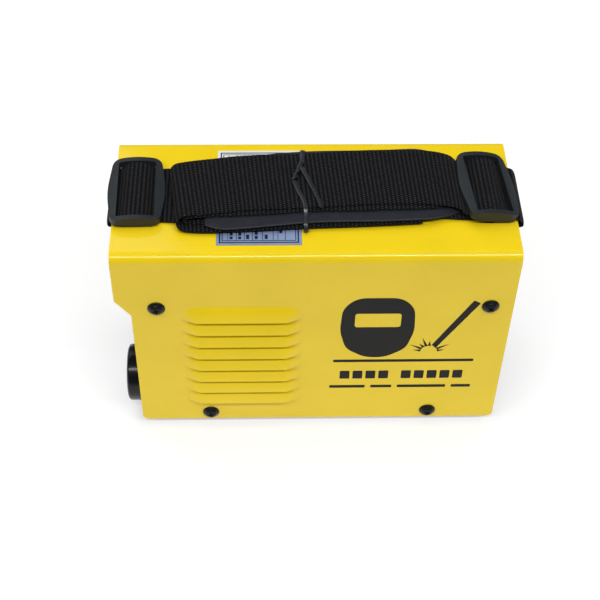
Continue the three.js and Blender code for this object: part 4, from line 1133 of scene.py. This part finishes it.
def front_print():
    """A scale round the current knob and the polarity signs over the sockets."""
    put = lambda u, v, w: (PANEL_X - 0.01 - w, u, v)  # noqa: E731
    _, knob_y, knob_z = middle("current_knob")
    loops = []
    for k in range(21):
        a = math.radians(-150 + 15 * k)
        c, s = math.cos(a), math.sin(a)
        inner, outer, half = (14.6, 17.4, 0.35) if k % 5 == 0 else (15.0, 16.6, 0.2)
        corners = ((inner, -half), (outer, -half), (outer, half), (inner, half))
        loops.append([(knob_y + r * s + t * c, knob_z + r * c - t * s) for r, t in corners])
    for side in (-1, 1):
        y, z = side * 43.0, BASE + 37.5
        loops.append(bar(y - 2.2, y + 2.2, z - 0.5, z + 0.5))
        if side > 0:
            loops += [bar(y - 0.5, y + 0.5, z + 0.5, z + 2.2), bar(y - 0.5, y + 0.5, z - 2.2, z - 0.5)]
    flat_shapes("front_panel_print", loops, put, PALE_INK, "label_film", 0.04)


front_print()


# ---------------------------------------------------------------- small turned parts


def make_foot(node):
    (_, _, z0), (_, _, z1) = box_mm(node)
    x, y, _ = middle(node)
    seat = BASE - 0.3
    profile = [(0, z0), (6.0, z0, 0.8), (7.0, seat, 0.5), (2.5, seat, 0.1), (2.5, seat + 1.8, 0.1),
               (3.7, seat + 2.1, 0.4), (1.8, z1, 0.5), (0, z1)]
    settle(from_mesh("fine_" + node, lathe(profile, "z", (x, y, 0), 48), "foot_rubber", [node]), 40)


for foot in sorted(n for n in frame["nodes"] if n.startswith("foot_")):
    make_foot(foot)


def make_lamp(node, slot):
    (x0, _, _), (x1, _, _) = box_mm(node)
    _, y, z = middle(node)
    profile = [(0, x0), (1.4, x0 + 0.35, 0.6), (2.2, x0 + 1.3, 0.7), (2.5, PANEL_X, 0.3), (2.5, x1 - 1.2, 0.1),
               (3.0, x1 - 1.2, 0.1), (3.0, x1, 0.2), (0, x1)]
    settle(from_mesh("fine_" + node, lathe(profile, "x", (0, y, z), 40), slot, [node]), 50)


make_lamp("power_lamp", "lamp_green")
make_lamp("fault_lamp", "lamp_amber")


def make_rotor():
    """The fan's rotor: a hub with a rounded rim and seven curved, pitched blades."""
    (x0, _, _), (x1, _, _) = box_mm("fan_rotor")
    _, _, z = middle("fan_frame")
    blades, tip, root = 7, 36.5, 14.0
    hub = lathe([(0, x0), (14.3, x0, 0.4), (14.5, x1 - 1.0, 1.0), (12.6, x1, 0.6), (0, x1 - 0.4)], "x",
                (0, 0, z), 64)
    points, faces = [], []
    rows, columns = 9, 7
    for k in range(blades):
        for face in (0, 1):
            for i in range(rows):
                t = i / (rows - 1)
                r = root + (tip - root) * t
                pitch = math.radians(50 - 14 * t)
                chord = 10.2 + 2.2 * t
                for j in range(columns):
                    s = -1 + 2 * j / (columns - 1)
                    camber = 0.9 * (1 - s * s)
                    thick = (0.75 if face else -0.75) * (1 - 0.6 * s * s)
                    u = s * chord * math.sin(pitch) + (camber + thick) * math.cos(pitch)
                    v = s * chord * math.cos(pitch) - (camber + thick) * math.sin(pitch)
                    x = min(max((x0 + x1) / 2 + v, x0 + 0.4), x1 - 0.6)
                    angle = 2 * math.pi * k / blades + u / r + 0.16 * t
                    points.append((x, r * math.sin(angle), z + r * math.cos(angle)))
        base = k * 2 * rows * columns
        back = base + rows * columns
        for i in range(rows - 1):
            for j in range(columns - 1):
                a = i * columns + j
                quad = (a, a + 1, a + columns + 1, a + columns)
                faces.append(tuple(base + q for q in quad))
                faces.append(tuple(back + q for q in reversed(quad)))
        rim = [j for j in range(columns)] + [i * columns + columns - 1 for i in range(1, rows)]
        rim += [(rows - 1) * columns + j for j in reversed(range(columns - 1))]
        rim += [i * columns for i in reversed(range(1, rows - 1))]
        for a, b in zip(rim, rim[1:] + rim[:1]):
            faces.append((base + a, back + a, back + b, base + b))
    vanes = outward(mesh_of("vanes", points, faces))
    piece = from_mesh("fine_fan_rotor", joined("rotor", [hub, vanes]), "black_plastic", ["fan_rotor"], "fan")
    settle(piece, 50)


make_rotor()

# ---------------------------------------------------------------- refined CAD nodes

for node, width in (("base_tray", 0.25), ("front_panel", 0.3), ("rear_panel", 0.3), ("power_switch_body", 0.4),
                    ("display_lens", 0.25), ("fan_frame", 0.3), ("cable_gland_nut", 0.3)):
    refined(node, width)
refined("power_switch_rocker", 0.8, "rocker")

# ---------------------------------------------------------------- floor, light


def make_stage():
    mesh = bpy.data.meshes.new("floor")
    bmesh_floor = bmesh.new()
    bmesh.ops.create_grid(bmesh_floor, x_segments=8, y_segments=8, size=6)
    bmesh_floor.to_mesh(mesh)
    bmesh_floor.free()
    floor = bare("floor", mesh)
    look = Look("glowing_floor_card", rough=0.9)
    # The floor glows from 0.19 m in front of the object backwards, fading in from 0.42 m in front: painted light that
    # washes out the object's cast shadow and lights it from below. Further in front it is a plain grey.
    across = look.node("ShaderNodeSeparateXYZ", {"Vector": look.place()}).outputs[1]
    near = look.span(across, 0.0, 1.0, -0.42, -0.19)
    pale = look.ramp(look.noise(400, 2), (0.3, (0.58, 0.58, 0.58)), (0.7, (0.61, 0.61, 0.61)))
    look.wire("Base Color", look.mix(near, (0.55, 0.55, 0.55), pale))
    look.set("Emission Color", (1, 1, 1, 1))
    look.wire("Emission Strength", look.math("MULTIPLY", near, 0.48))
    mesh.materials.append(look.material)
    world = bpy.data.worlds.new("studio")
    bpy.context.scene.world = world
    world.use_nodes = True
    sky = world.node_tree.nodes["Background"]
    sky.inputs["Color"].default_value = (1, 1, 1, 1)
    sky.inputs["Strength"].default_value = 0.1


def make_light(name, at, target, size, power, glossy=True):
    data = bpy.data.lights.new(name, "AREA")
    data.shape = "RECTANGLE"
    data.size, data.size_y = size
    data.energy = power
    light = bpy.data.objects.new(name, data)
    light.location = at
    light.visible_glossy = glossy
    light.rotation_euler = (Vector(target) - Vector(at)).to_track_quat("-Z", "Y").to_euler()
    bpy.context.collection.objects.link(light)


make_stage()
make_light("strip_light", (0.0, -1.3, 2.35), (0, 0, 0.1), (5.0, 0.15), 69)
make_light("top_softbox", (0.0, 0.45, 2.6), (0, 0, 0.1), (2.4, 1.9), 27, False)
make_light("back_softbox", (-1.2, 1.8, 2.2), (0, 0, 0.1), (1.9, 1.3), 10)
